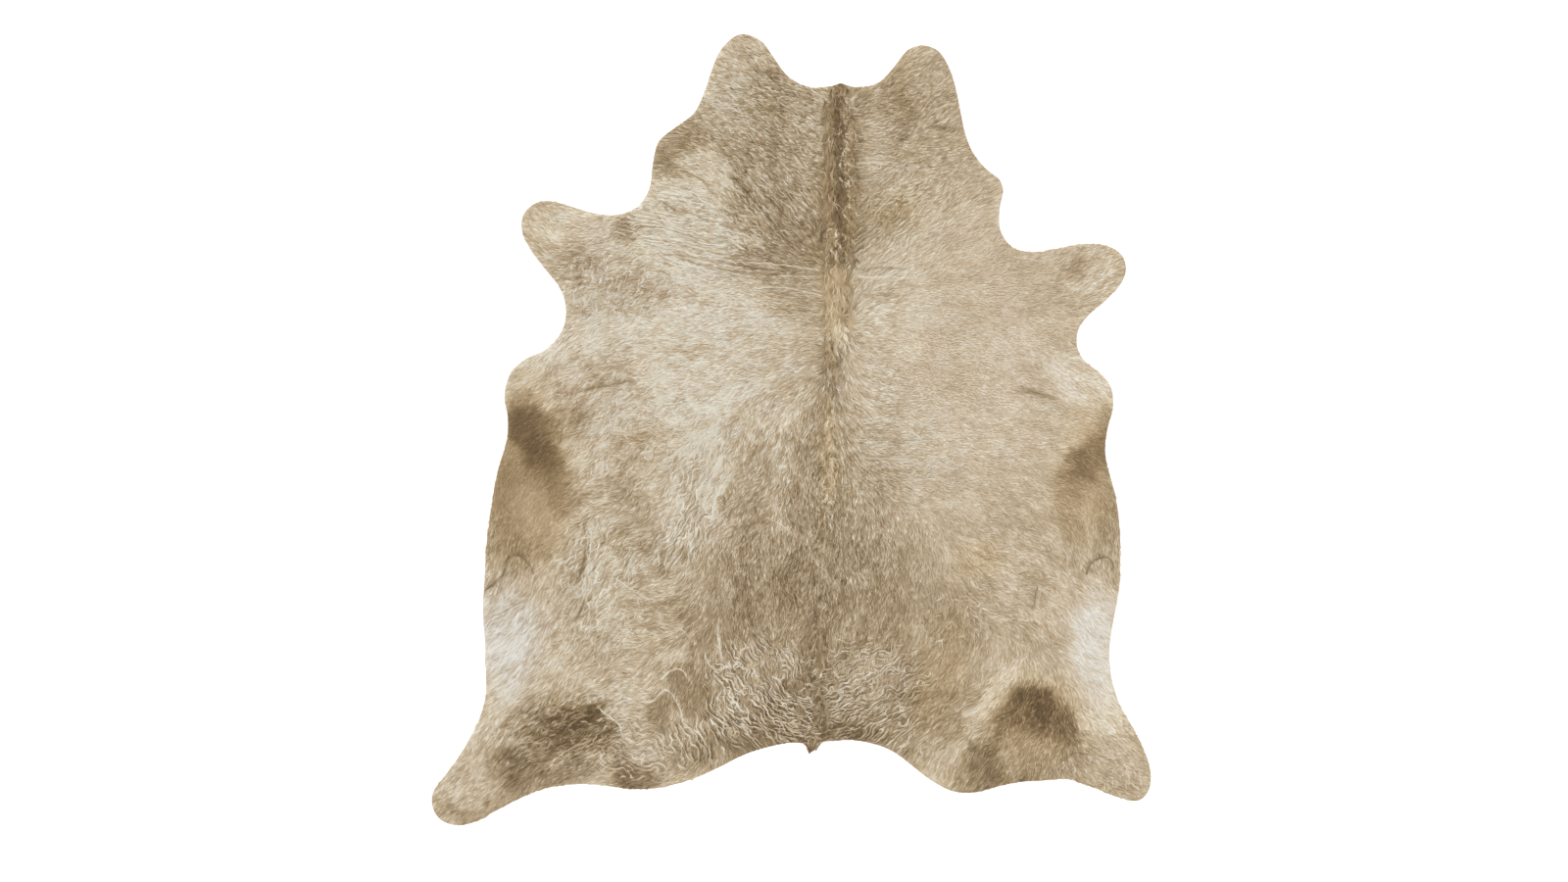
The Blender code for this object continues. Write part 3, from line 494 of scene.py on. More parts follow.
# Crinkles: oval; the lines' turn (degrees), spacing (mm), stretch and length (mm); tone shift, strands
CRINKLES = (
    ("left rump", (-9, -70, 13, 11, 0, 0.3), -54, 13, 0.9, 24, 54, 600),
    ("left rump side", (-16, -77, 7, 8, 0, 0.3), -60, 18, 1.2, 30, 56, 260),
    ("left rump foot", (-8, -82, 10, 7, -15, 0.3), -40, 12, 1.3, 28, 62, 560),
    ("left of the tail", (2, -81, 6, 7, 0, 0.3), -16, 11, 1.2, 22, 62, 320),
    ("right of the tail", (13, -80, 7, 8, 0, 0.3), 14, 11, 1.4, 24, 52, 340),
    ("right rump", (22, -69, 15, 10, 0, 0.3), 24, 13, 0.9, 22, 44, 680),
    ("right rump foot", (26, -81, 12, 7, -20, 0.3), 38, 12, 1.5, 26, 46, 420),
    ("left rump rim", (-26, -87, 10, 6, 20, 0.3), -62, 20, 1.2, 30, 46, 300),
    ("haunch", (-42, -90, 11, 8, 0, 0.3), -24, 18, 1.2, 28, 34, 240),
    ("right middle", (33, -10, 16, 12, 0, 0.3), 0, 16, 1.4, 24, 16, 260),
    ("throat", (-27, 55, 19, 11, -15, 0.3), -12, 13, 2.6, 32, -38, 460),
    ("neck patch", (-4, 68, 20, 12, 80, 0.3), -50, 12, 1.8, 20, -34, 480),
    ("upper neck", (-8, 86, 16, 12, 90, 0.3), -14, 13, 1.8, 22, 22, 380),
    ("right nape", (24, 72, 18, 8, 90, 0.3), 4, 14, 2.0, 28, 22, 360),
    ("right withers", (27, 58, 14, 9, 60, 0.3), 42, 14, 1.8, 24, 32, 360),
    ("scale field", (-50, 40, 18, 9, 0, 0.3), 60, 15, 1.2, 20, 24, 340),
    ("left middle", (-42, -2, 26, 13, -12, 0.3), 58, 18, 1.3, 24, 22, 420),
    ("left belly", (-54, -44, 19, 13, 90, 0.3), 62, 17, 1.6, 28, 28, 400),
    ("left belly edge", (-27, -20, 20, 7, 68, 0.3), 60, 15, 1.3, 30, 40, 480),
    ("left knee", (-62, -86, 14, 8, 0, 0.3), 25, 14, 1.5, 26, 24, 220),
)

# The crinkles' lines: waves and finer curls, their sizes in spacings and their seeds, the dips, the breaks
WAVE = 1.0
WAVE_SIZE = 2.0
WAVE_SEED = 80
CURL = 0.22
CURL_SIZE = 0.6
CURL_SEED = 90
# The dips beside each line take the opposite of its tone shift: painted shade beside a light line, a lighter
# band beside a dark one
DIP_PLACE = 0.35
DIP_SHARE = -0.75
BREAK_SPACING = 0.022
BREAK_SEED = 79
BREAK_LEVEL = -0.25
LINE_NEARNESS = 0.06
TRIES_A_CRINKLE = 20

# The tail tuft (cm): middle and half sizes of its root; its tips with their strands and tone; its unevenness
TAIL_ROOT = ((6.0, -86.0), (1.8, 1.0))
TAIL_TIPS = (
    ("long dark tip", (4.9, -90.1), 50, 84),
    ("short tip", (6.9, -89.3), 36, 124),
    ("golden middle", (5.9, -89.0), 24, 168),
)
TIP_SPREAD = 0.1
TAIL_BOW = 0.15

# Strands on the coat: points, height, roll (degrees), painted shade at root to painted highlight at tip,
# waves (radians)
STRAND_POINTS = 7
STRAND_CLEARANCE = 0.0006
STRAND_LIFTS = (0.95, 1.25)
STRAND_ROLL = 20
PAINTED_STRAND_SHADING = (-14, 8)
ARCH_PLACES = (0, 0.2, 0.5, 1)
ARCH_SHARES = (0.4, 1.0, 1.15, 1.0)
WAVE_TURN = 9.0
WAVE_SHARES = (0.4, 1.2)
WAVE_PHASES = (0, 6.3)

# Strands in a lock: how many, how far apart (mm) and how much they fan out (degrees)
STRANDS_A_LOCK = 5
LOCK_SCATTER = 1.4
LOCK_FAN = 5
TRIES_A_SPOT = 6
SPOT_GAP = 0.002

# Strands along a ridge or crease: steps (cm) between their points, where they start, and how much of the
# line's half width they spread over and of its tone shift they add
STRAND_STEP = 0.35
START_EVERY = 3
STRANDS_A_START = 3
LINE_SPREAD = 0.3
LINE_SHARE = 0.6

# Looks of strands: spread of their tone, width (mm)
TAIL_LOOK = (12, 1.3)
LINE_LOOK = (6, 1.4)
CRINKLE_LOOK = (12, 1.6)
LOCK_TONE_SPREAD = 7

# Which tufts are down the spine: x of the spine, how near they are, and their largest half width (cm)
SPINE_X = 11
SPINE_REACH = 6
SPINE_HALF_WIDTH = 4

# Ribbons: their widths along them, and how a strand is cut short at the rim
RIBBON_PLACES = (0, 0.35, 1)
RIBBON_WIDTHS = (0.7, 1, 0)
OVERHANG = 0.0012
SHORTENING = 0.72
SHORTENINGS = 4
LEAST_LENGTH = 0.3

# The colour chart: how near its edge it is used, and how far a ribbon's sides are moved on it
CHART_EDGE = 0.03
CHART_LEAN = (0, 0.003)

# Palette of the hair: tone, then red, green and blue on a screen
PALETTE = (
    (70, (89, 69, 42)),
    (99, (117, 96, 65)),
    (128, (145, 124, 92)),
    (158, (174, 156, 128)),
    (187, (201, 185, 162)),
    (222, (224, 221, 211)),
)

# Tints and gain over the palette, and the leather's colours and nap (place, share), all linear
COOL = (0.97, 1.00, 1.06)
WARM = (1.06, 0.99, 0.82)
COAT_GAIN = 0.82
SUEDE = (0.62, 0.53, 0.42)
CUT_LEATHER = (0.42, 0.35, 0.27)
NAP_STOPS = ((0.3, 0.82), (0.7, 1.12))

# The skin's materials, in their order on its mesh
GRAIN = 0
CUT_EDGE = 1
FLESH = 2

# Numbers of a mix node's sockets for colours, which have the same names as its other sockets
MIX_FACTOR = 0
MIX_COOL = 6
MIX_WARM = 7
MIX_COLOUR = 2

# The floor, the light (softness in degrees) and the camera
FLOOR_SIZE = 40
FLOOR_DEPTH = 0.0005
SKY_STRENGTH = 0.80
KEY_STRENGTH = 2.4
KEY_SOFTNESS = 35
KEY_DIRECTION = (0.9, -0.9, -4.4)
CAMERA_PLACE = (-0.0204, -0.0313, 6.052)
CAMERA_LENS = 50
FLOOR_COLOUR = (0.93, 0.93, 0.93, 1.0)


def smooth(t):
    """0 below 0, 1 above 1, and a soft step between."""
    t = np.clip(t, 0, 1)
    return t * t * (3 - 2 * t)


def noise(points, spacing, seed):
    """Smooth random values from -1 to 1, with bumps about spacing apart."""
    table = np.random.default_rng(seed).uniform(-1, 1, (NOISE_CELLS, NOISE_CELLS))
    cell = points / spacing + NOISE_MIDDLE
    whole = np.floor(cell).astype(int)
    s, t = smooth(cell - whole).T
    i, j = whole.T % NOISE_CELLS
    right, up = (i + 1) % NOISE_CELLS, (j + 1) % NOISE_CELLS
    below = table[i, j] * (1 - s) + table[right, j] * s
    above = table[i, up] * (1 - s) + table[right, up] * s
    return below * (1 - t) + above * t


def uneven(values, points, sizes):
    """The values with bumps added to them: a spacing, an amount and a seed for each size of bump."""
    for spacing, amount, seed in sizes:
        values = values + amount * noise(points, spacing, seed)
    return values


def moved(points, sizes):
    """The points moved a little each way, by bumps as in uneven."""
    upward_sizes = [(spacing, amount, seed + 1) for spacing, amount, seed in sizes]
    return np.stack([uneven(points[:, 0], points, sizes), uneven(points[:, 1], points, upward_sizes)], axis=1)


def direction(angle):
    return np.stack([np.cos(angle), np.sin(angle)], axis=-1)


def catmull_rom(knots, step, closed=False):
    """Points about step apart on a smooth curve through the knots."""
    knots = np.asarray(knots, float)
    if not closed:
        knots = np.vstack([2 * knots[0] - knots[1], knots, 2 * knots[-1] - knots[-2]])
    spans = len(knots) if closed else len(knots) - 3
    points = []
    for i in range(spans):
        a, b, c, d = (knots[(i + k) % len(knots)] for k in range(4))
        parts = max(1, round(np.linalg.norm(c - b) / step))
        for t in np.arange(parts) / parts:
            points.append(0.5 * (2 * b + (c - a) * t + (2 * a - 5 * b + 4 * c - d) * t**2
                                 + (3 * b - a - 3 * c + d) * t**3))
    return np.array(points if closed else [*points, knots[-2]])


def inset(ring, depth):
    """A counter-clockwise ring moved inwards by depth."""
    along = np.roll(ring, -1, axis=0) - np.roll(ring, 1, axis=0)
    along /= np.linalg.norm(along, axis=1)[:, None]
    return ring + depth * np.stack([-along[:, 1], along[:, 0]], axis=1)


def distance_to_line(points, line):
    """How far each point is from a line of points."""
    nearest = np.full(len(points), np.inf)
    for a, b in zip(line[:-1], line[1:]):
        way = b - a
        t = np.clip((points - a) @ way / (way @ way), 0, 1)
        away = points - a - t[:, None] * way
        nearest = np.minimum(nearest, np.hypot(away[:, 0], away[:, 1]))
    return nearest


def is_inside(points, ring):
    """Whether each point is inside the ring."""
    inside = np.zeros(len(points), bool)
    x, y = points.T
    for (ax, ay), (bx, by) in zip(ring, np.roll(ring, -1, axis=0)):
        crosses = (ay > y) != (by > y)
        inside[crosses] ^= x[crosses] < ax + (y[crosses] - ay) * (bx - ax) / (by - ay)
    return inside


def rim_of(mesh):
    """The hide's rim, counter-clockwise, as the outline of its underside's faces."""
    places = [tuple(round(c, 5) for c in v.co[:2]) for v in mesh.vertices]
    edges = set()
    for face in mesh.polygons:
        if face.normal.z < -0.5:
            corners = [places[v] for v in face.vertices]
            for a, b in zip(corners, corners[1:] + corners[:1]):
                if (b, a) in edges:
                    edges.remove((b, a))
                else:
                    edges.add((a, b))
    before = {b: a for a, b in edges}
    ring = [min(before)]
    while before[ring[-1]] != ring[0]:
        ring.append(before[ring[-1]])
    return np.array(ring)


class HideMap:
    """Values on an even grid over the hide, read between the grid's points."""

    x = np.arange(-SKIN_WIDTH / 2 - MAP_MARGIN, SKIN_WIDTH / 2 + MAP_MARGIN, MAP_STEP)
    y = np.arange(-SKIN_LENGTH / 2 - MAP_MARGIN, SKIN_LENGTH / 2 + MAP_MARGIN, MAP_STEP)

    def __init__(self, values):
        self.values = np.asarray(values).reshape(len(self.x), len(self.y))

    @classmethod
    def points(cls):
        return np.stack(np.meshgrid(cls.x, cls.y, indexing="ij"), axis=-1).reshape(-1, 2)

    def at(self, points):
        cell = (points - (self.x[0], self.y[0])) / MAP_STEP
        cell = np.clip(cell, 0, np.array(self.values.shape) - 1.001)
        i, j = cell.astype(int).T
        s, t = (cell - cell.astype(int)).T
        v = self.values
        return ((v[i, j] * (1 - s) + v[i + 1, j] * s) * (1 - t)
                + (v[i, j + 1] * (1 - s) + v[i + 1, j + 1] * s) * t)

    def along(self, paths):
        """The values at every place of every path."""
        return self.at(paths.reshape(-1, 2)).reshape(paths.shape[:2])


def ray_heights(surface, start, way):
    """Where upright rays meet the surface, with the nearest met height where they miss."""
    heights = np.full(len(HideMap.points()), np.nan)
    for k, (x, y) in enumerate(HideMap.points()):
        hit = surface.ray_cast(Vector((x, y, start)), Vector((0, 0, way)))[0]
        if hit is not None:
            heights[k] = hit.z
    heights = heights.reshape(len(HideMap.x), len(HideMap.y))
    for _ in range(MAP_REACH):
        for axis, shift in ((0, 1), (0, -1), (1, 1), (1, -1)):
            heights = np.where(np.isnan(heights), np.roll(heights, shift, axis), heights)
    return HideMap(np.nan_to_num(heights))


def oval(points, shape):
    """1 inside the oval and 0 outside it, with a soft edge that reaches its softness in and out of it."""
    x, y, half_length, half_width, turn, softness = shape
    away = points / CM - (x, y)
    c, s = direction(np.radians(turn))
    reach = np.hypot((away @ (c, s)) / half_length, (away @ (-s, c)) / half_width)
    return smooth((1 + softness - reach) / (2 * softness))


def flow_at(points):
    """Which way the hair's tips point, in radians."""
    total = np.zeros_like(points)
    for x, y, degrees in FLOW:
        away = np.hypot(points[:, 0] - x * CM, points[:, 1] - y * CM)
        total += direction(np.radians(degrees)) / (away[:, None]**2 + FLOW_REACH**2)**1.5
    return uneven(np.arctan2(total[:, 1], total[:, 0]), points, FLOW_WANDER)


def crest_at(points):
    """How much of the crest is at each point, and its tone there."""
    y = points[:, 1] / CM
    middle, half_width, tone = (np.interp(y, CREST[:, 0], CREST[:, k]) for k in (1, 2, 3))
    return np.exp(-((points[:, 0] / CM - middle) / half_width)**2), tone


def line_tone(points):
    """The tone that the ridges and creases add: cream and painted highlight on the ridges, painted shade in
    the creases.
    """
    added = np.zeros(len(points))
    for shift, half_width, *knots in LINES:
        line = catmull_rom(knots, LINE_STEP) * CM
        low, high = line.min(axis=0) - LINE_REACH, line.max(axis=0) + LINE_REACH
        near = np.flatnonzero(((points > low) & (points < high)).all(axis=1))
        away = distance_to_line(points[near], line)
        added[near] += shift * np.exp(-(away / (half_width * CM))**2)
    return added


def streaks(points, angle, sizes):
    """Unevenness with a spread of about 1, drawn out along the hair."""
    along = direction(angle)
    total = np.zeros(len(points))
    for spacing, share, seed in sizes:
        for step in STREAK_STEPS:
            total += share * noise(points + step * spacing * along, spacing, seed)
    return STREAK_GAIN * total / np.sqrt(sum(share**2 for _, share, _ in sizes))


def coat_zone(points):
    """The hair's length, marbling, streaks and unruliness at each point."""
    values = np.tile(np.array(BASE_COAT, float), (len(points), 1))
    for _, shape, *wanted in COAT_ZONES:
        values += oval(points, shape)[:, None] * (np.array(wanted) - values)
    return values.T


def tone_at(points, angle):
    """The coat's tone: its patches, its crest, its marbling and streaks, and its ridges and creases with
    their painted highlight and shade.
    """
    tone = np.full(len(points), float(BASE_TONE))
    ragged = moved(points, RAGGED_EDGES)
    for _, shape, wanted, strength in PATCHES:
        tone += (wanted - tone) * strength * oval(ragged, shape)
    share, wanted = crest_at(points + CREST_RAGGEDNESS * (ragged - points))
    tone += (wanted - tone) * CREST_STRENGTH * share
    _, marbled, streaked, _ = coat_zone(points)
    tone += marbled * np.tanh(MARBLING_CONTRAST * streaks(points, angle, MARBLING))
    tone += streaked * streaks(points, angle, STREAKS)
    return tone + line_tone(points)


def warmth_at(points):
    """How warm the coat's colour is: 0 where it is cool and 1 where it is warm."""
    warmth = np.full(len(points), BASE_WARMTH)
    for _, shape, wanted in WARMTH:
        warmth += (wanted - warmth) * oval(points, shape)
    return uneven(warmth, points, WARMTH_WANDER)


def triangulated(ring, inner):
    """All points and triangles inside the ring, with the ring's own points first."""
    points = [Vector(p) for p in (*ring, *inner)]
    edges = [(k, (k + 1) % len(ring)) for k in range(len(ring))]
    found = delaunay_2d_cdt(points, edges, [], 1, 1e-7)
    return np.array(found[0]), np.array(found[2])


def grid_in(step, gap):
    """Points of an even triangular grid that are inside the hide and at least gap from its rim."""
    x = np.arange(-SKIN_WIDTH / 2, SKIN_WIDTH / 2, step)
    y = np.arange(-SKIN_LENGTH / 2, SKIN_LENGTH / 2, step * ROW_STEP)
    points = np.stack(np.meshgrid(x, y, indexing="ij"), axis=-1)
    points[:, ::2, 0] += step / 2
    points = points.reshape(-1, 2)
    return points[rim_distance.at(points) > gap]


def skin_top(points):
    """The height of the skin's grain side, on which the hair stands."""
    flesh = flesh_map.at(points)
    return flesh + SKIN_EDGE + HAIR_BED * np.maximum(coat_map.at(points) - flesh - THIN_HIDE, 0)


def bed_and_top(paths):
    """The heights of the skin's grain side and of the coat's top along the paths."""
    return skin_top(paths.reshape(-1, 2)).reshape(paths.shape[:2]), coat_map.along(paths)


def new_object(name, mesh, *materials):
    for material in materials:
        mesh.materials.append(material)
    thing = bpy.data.objects.new(name, mesh)
    bpy.context.scene.collection.objects.link(thing)
    return thing


def add_uv(mesh, corner_places):
    """A map named OFBake, from a place for each corner of each face."""
    layer = mesh.uv_layers.new(name="OFBake")
    layer.data.foreach_set("uv", np.asarray(corner_places, np.float32).ravel())


def skin_place(points, side):
    """Where points of the skin lie on its map: grain side in the left half, flesh side in the right."""
    across = UV_MARGIN + (0.5 - 2 * UV_MARGIN) * (points[:, 0] / SKIN_WIDTH + 0.5) + 0.5 * side
    up = UV_MARGIN + (1 - 2 * UV_MARGIN) * (points[:, 1] / SKIN_LENGTH + 0.5)
    return np.stack([across, up], axis=1)


def edge_faces(ring, first):
    """The faces of the cut edge from ring to ring, and their corners' places on the skin's map.

    The rings have as many points as this one, and each ring's first point has the number given in first.
    """
    rows = [skin_place(inset(ring, -out), 0) for out in EDGE_MAP]
    faces, places = [], []
    for level, (upper, lower) in enumerate(zip(first[:-1], first[1:])):
        for k in range(len(ring)):
            after = (k + 1) % len(ring)
            faces.append((upper + k, lower + k, lower + after, upper + after))
            places.append([rows[level][k], rows[level + 1][k], rows[level + 1][after], rows[level][after]])
    return faces, places


def skin_shape(rim):
    """The skin's points and faces, with each face's places on the map and its material."""
    ring = inset(catmull_rom(rim, RING_STEP, closed=True), SKIN_INSET)
    n = len(ring)
    top, top_faces = triangulated(inset(ring, TOP_INSET), grid_in(TOP_STEP, TOP_GAP))
    under, under_faces = triangulated(inset(ring, UNDER_INSET), grid_in(UNDER_STEP, UNDER_GAP))
    flesh = flesh_map.at(ring)
    levels = [np.column_stack([ring, flesh + SKIN_EDGE * share]) for share in EDGE_LEVELS]
    top_z = uneven(skin_top(top), top, SKIN_WAVES)
    top_z[:n] = flesh + SKIN_EDGE
    under_z = np.maximum(flesh_map.at(under), 0)
    points = np.vstack([np.column_stack([top, top_z]), *levels, np.column_stack([under, under_z])])
    first = (0, len(top), len(top) + n, len(top) + 2 * n)
    sides, side_places = edge_faces(ring, first)
    turned = under_faces[:, ::-1]
    faces = [*top_faces.tolist(), *sides, *(turned + first[-1]).tolist()]
    places = [*skin_place(top, 0)[top_faces], *side_places, *skin_place(under, 1)[turned]]
    materials = [GRAIN] * len(top_faces) + [CUT_EDGE] * len(sides) + [FLESH] * len(turned)
    return points, faces, places, materials


def make_skin(rim):
    """The skin as one closed sheet: grain side, cut edge and flesh side."""
    points, faces, places, materials = skin_shape(rim)
    mesh = bpy.data.meshes.new("hide_skin")
    mesh.from_pydata(points.tolist(), [], faces)
    add_uv(mesh, np.concatenate(places))
    mesh.polygons.foreach_set("material_index", materials)
    plan = points[:, :2]
    # The skin under the hair takes the coat's tone darkened by the roots' painted shade
    tone = (tone_at(plan, flow_at(plan)) + PAINTED_ROOT_SHADE) / WHITE
    mesh.attributes.new("tone", "FLOAT", "POINT").data.foreach_set("value", tone.astype(np.float32))
    mesh.shade_smooth()
    mesh.validate()
    return new_object("hide_skin", mesh, grain_material(), edge_material(), suede_material())


def strand_paths(roots, angle, length, bend, wave, phase, count):
    """The places along each strand, count of them, over the hide."""
    t = np.linspace(0, 1, count)
    waves = wave[:, None] * np.sin(WAVE_TURN * t + phase[:, None])
    turned = angle[:, None] + bend[:, None] * t + waves
    steps = direction(turned[:, :-1]) * (length / (count - 1))[:, None, None]
    return np.concatenate([roots[:, None], roots[:, None] + np.cumsum(steps, axis=1)], axis=1)


def kept_inside(roots, angle, length, bend, wave, phase, count):
    """Strand paths, with each strand short enough to end at the rim, and which of them are long enough."""
    full = length.copy()
    for _ in range(SHORTENINGS):
        paths = strand_paths(roots, angle, length, bend, wave, phase, count)
        outside = rim_distance.along(paths).min(axis=1) < -OVERHANG
        length = np.where(outside, SHORTENING * length, length)
    paths = strand_paths(roots, angle, length, bend, wave, phase, count)
    return paths, length > LEAST_LENGTH * full


def paired(left, right, middle):
    """Each strand's left and right values in turn, and its middle value at the tip."""
    pairs = np.stack([left[:, :-1], right[:, :-1]], axis=2).reshape(len(left), -1, left.shape[2])
    return np.concatenate([pairs, middle[:, -1:]], axis=1)


def ribbon_points(paths, heights, width, roll):
    """The points of tapered ribbons along the paths, each rolled about its own length."""
    points = np.concatenate([paths, heights[..., None]], axis=2)
    along = np.gradient(paths, axis=1)
    along /= np.maximum(np.linalg.norm(along, axis=2, keepdims=True), 1e-9)
    side = np.stack([-along[..., 1], along[..., 0], np.zeros(heights.shape)], axis=2)
    side = side * np.cos(roll)[:, None, None] + np.array([0, 0, 1]) * np.sin(roll)[:, None, None]
    share = np.interp(np.linspace(0, 1, heights.shape[1]), RIBBON_PLACES, RIBBON_WIDTHS)
    offset = side * (width[:, None] * share / 2)[..., None]
    return paired(points + offset, points - offset, points)


def ribbon_faces(strands, count):
    """The triangles of ribbons along paths of count places."""
    faces = [(2 * k, 2 * k + 1, 2 * k + 3) for k in range(count - 2)]
    faces += [(2 * k, 2 * k + 3, 2 * k + 2) for k in range(count - 2)]
    faces.append((2 * count - 4, 2 * count - 3, 2 * count - 2))
    first = (2 * count - 1) * np.arange(strands)
    return (np.array(faces)[None] + first[:, None, None]).reshape(-1, 3)


def chart_places(tone, warmth):
    """Where the points of ribbons lie on the coat's colour chart: tone across, warmth up."""
    chart = np.stack([tone / WHITE, np.broadcast_to(warmth[:, None], tone.shape)], axis=2)
    chart = chart.clip(CHART_EDGE, 1 - CHART_EDGE)
    return paired(chart + CHART_LEAN, chart - CHART_LEAN, chart)


def strand_mesh(name, paths, heights, width, roll, tone, warmth):
    """A piece made of tapered ribbons along the paths."""
    points = ribbon_points(paths, heights, width, roll).reshape(-1, 3)
    faces = ribbon_faces(*heights.shape)
    mesh = bpy.data.meshes.new(name)
    mesh.vertices.add(len(points))
    mesh.vertices.foreach_set("co", points.astype(np.float32).ravel())
    mesh.loops.add(faces.size)
    mesh.loops.foreach_set("vertex_index", faces.astype(np.int32).ravel())
    mesh.polygons.add(len(faces))
    mesh.polygons.foreach_set("loop_start", np.arange(0, faces.size, 3, dtype=np.int32))
    mesh.update(calc_edges=True)
    add_uv(mesh, chart_places(tone, warmth).reshape(-1, 2)[faces.ravel()])
    mesh.shade_smooth()
    mesh.validate()
    return new_object(name, mesh, hair_material)


def lock_roots(rng):
    """Where the coat's locks grow, in order from rump to neck."""
    step = np.sqrt(SKIN_AREA / (LOCKS_A_PART * len(COAT_PARTS)) / ROW_STEP)
    roots = grid_in(step, LOCK_GAP)
    roots += rng.uniform(-0.5, 0.5, roots.shape) * step
    roots = roots[rim_distance.at(roots) > LEAST_LOCK_GAP]
    return roots[np.argsort(roots[:, 1], kind="stable")]


def coat_part(rng, name, roots):
    """One part of the laid coat, with a lock from each root."""
    n = len(roots)
    length, _, streaked, unruly = coat_zone(roots)
    flow = flow_at(roots) + np.radians(unruly) * SWIRL_SHARE * noise(roots, SWIRL_SIZE, SWIRL_SEED)
    angle = flow + np.radians(LOCK_TURN) * rng.standard_normal(n)
    length = length * MM * rng.uniform(*LOCK_LENGTHS, n)
    bend = np.radians(LOCK_BEND) * rng.standard_normal(n)
    no_wave = np.zeros(n)
    paths, kept = kept_inside(roots, angle, length, bend, no_wave, no_wave, LOCK_POINTS)
    seen = 0.5 * (paths[:, 1] + paths[:, 2])
    tone = tone_at(seen, flow) + LOCK_JITTER * streaked * rng.standard_normal(n)
    # Painted shade at each lock's root and a painted highlight at its tip
    tone = tone[:, None] + np.array([PAINTED_ROOT_SHADE, 0, PAINTED_TIP_LIGHT])
    warmth = warmth_at(seen) + WARMTH_SPREAD * rng.standard_normal(n)
    bed, top = bed_and_top(paths)
    lift = np.stack([np.zeros(n), *(rng.uniform(low, high, n) for low, high in LOCK_LIFTS)], axis=1)
    heights = bed + LOCK_CLEARANCE + lift * (top - bed)
    width = LOCK_WIDTH * rng.uniform(*VARIED, n)
    roll = np.radians(LOCK_ROLL * streaked) * rng.standard_normal(n)
    return strand_mesh(name, *(v[kept] for v in (paths, heights, width, roll, tone, warmth)))


def make_coat():
    """The laid coat, in parts from rump to neck."""
    rng = np.random.default_rng(SEED)
    parts = np.array_split(lock_roots(rng), len(COAT_PARTS))
    return [coat_part(rng, name, roots) for name, roots in zip(COAT_PARTS, parts)]


def scattered(rng, shape, count):
    """Random points in an oval, thinning out over its soft edge."""
    x, y, half_length, half_width, turn, softness = shape
    spot = rng.uniform(-1, 1, (TRIES_A_SPOT * count, 2)) * (1 + softness)
    c, s = direction(np.radians(turn))
    along, across = spot[:, 0] * half_length, spot[:, 1] * half_width
    points = np.stack([x + along * c - across * s, y + along * s + across * c], axis=1) * CM
    points = points[rng.uniform(0, 1, len(points)) < oval(points, shape)]
    return points[rim_distance.at(points) > SPOT_GAP][:count]


def laid_strands(rng, paths, tone, tone_spread, width):
    """Strands along the paths that lie on the coat, as strand_mesh takes them."""
    n, count = paths.shape[:2]
    bed, top = bed_and_top(paths)
    arch = np.interp(np.linspace(0, 1, count), ARCH_PLACES, ARCH_SHARES)
    heights = bed + arch * rng.uniform(*STRAND_LIFTS, n)[:, None] * (top - bed) + STRAND_CLEARANCE
    # Each strand runs from painted shade at its root to a painted highlight at its tip
    tones = (tone + tone_spread * rng.standard_normal(n))[:, None] + np.linspace(*PAINTED_STRAND_SHADING, count)
    warmth = warmth_at(paths[:, 0]) + WARMTH_SPREAD * rng.standard_normal(n)
    widths = width * MM * rng.uniform(*VARIED, n)
    roll = np.radians(STRAND_ROLL) * rng.standard_normal(n)
    return [paths, heights, widths, roll, tones, warmth]


def tuft_strands(rng, roots, degrees, spread, length, width, wave, tone, tone_spread):
    """Locks of strands that share their lock's lie and tone."""
    n = len(roots)
    angle = np.radians(degrees + spread * rng.standard_normal(n))
    length = length * MM * rng.uniform(*VARIED, n)
    bend = np.radians(spread) * rng.standard_normal(n)
    waves = np.radians(wave) * rng.uniform(*WAVE_SHARES, n)
    phase = rng.uniform(*WAVE_PHASES, n)
    tones = tone + tone_spread * rng.standard_normal(n)
    roots, angle, length, bend, waves, phase, tones = (
        np.repeat(v, STRANDS_A_LOCK, axis=0) for v in (roots, angle, length, bend, waves, phase, tones))
    roots = roots + LOCK_SCATTER * MM * rng.standard_normal(roots.shape)
    angle = angle + np.radians(LOCK_FAN) * rng.standard_normal(len(angle))
    paths, kept = kept_inside(roots, angle, length, bend, waves, phase, STRAND_POINTS)
    return [v[kept] for v in laid_strands(rng, paths, tones, LOCK_TONE_SPREAD, width)]


def tail_strands(rng):
    """Strands that run together from the tail's root to the tips of its tuft."""
    made = []
    root, half_size = TAIL_ROOT
    t = np.linspace(0, 1, STRAND_POINTS)[:, None]
    for _, tip, count, tone in TAIL_TIPS:
        starts = np.array(root) + rng.uniform(-1, 1, (count, 2)) * half_size
        ends = np.array(tip) + rng.normal(0, TIP_SPREAD, (count, 2))
        bow = np.sin(np.pi * t) * rng.normal(0, TAIL_BOW, (count, 1, 1)) * (1, 0)
        paths = starts[:, None] * (1 - t) + ends[:, None] * t + bow
        made.append(laid_strands(rng, paths * CM, tone, *TAIL_LOOK))
    return made


def line_strands(rng):
    """Strands that lie along the ridges and in the creases, with the lines' painted highlight and shade in
    their tone.
    """
    made = []
    for shift, half_width, *knots in LINES:
        line = moved(catmull_rom(knots, STRAND_STEP) * CM, LINE_SWAY)
        first = np.repeat(np.arange(0, len(line) - STRAND_POINTS + 1, START_EVERY), STRANDS_A_START)
        paths = line[first[:, None] + np.arange(STRAND_POINTS)]
        paths = paths + rng.normal(0, LINE_SPREAD * half_width * CM, (len(first), 1, 2))
        paths = paths[rim_distance.along(paths).min(axis=1) > 0]
        way = paths[:, -1] - paths[:, 0]
        middle = paths[:, STRAND_POINTS // 2]
        tone = tone_at(middle, np.arctan2(way[:, 1], way[:, 0])) + LINE_SHARE * shift
        made.append(laid_strands(rng, paths, tone, *LINE_LOOK))
    return made


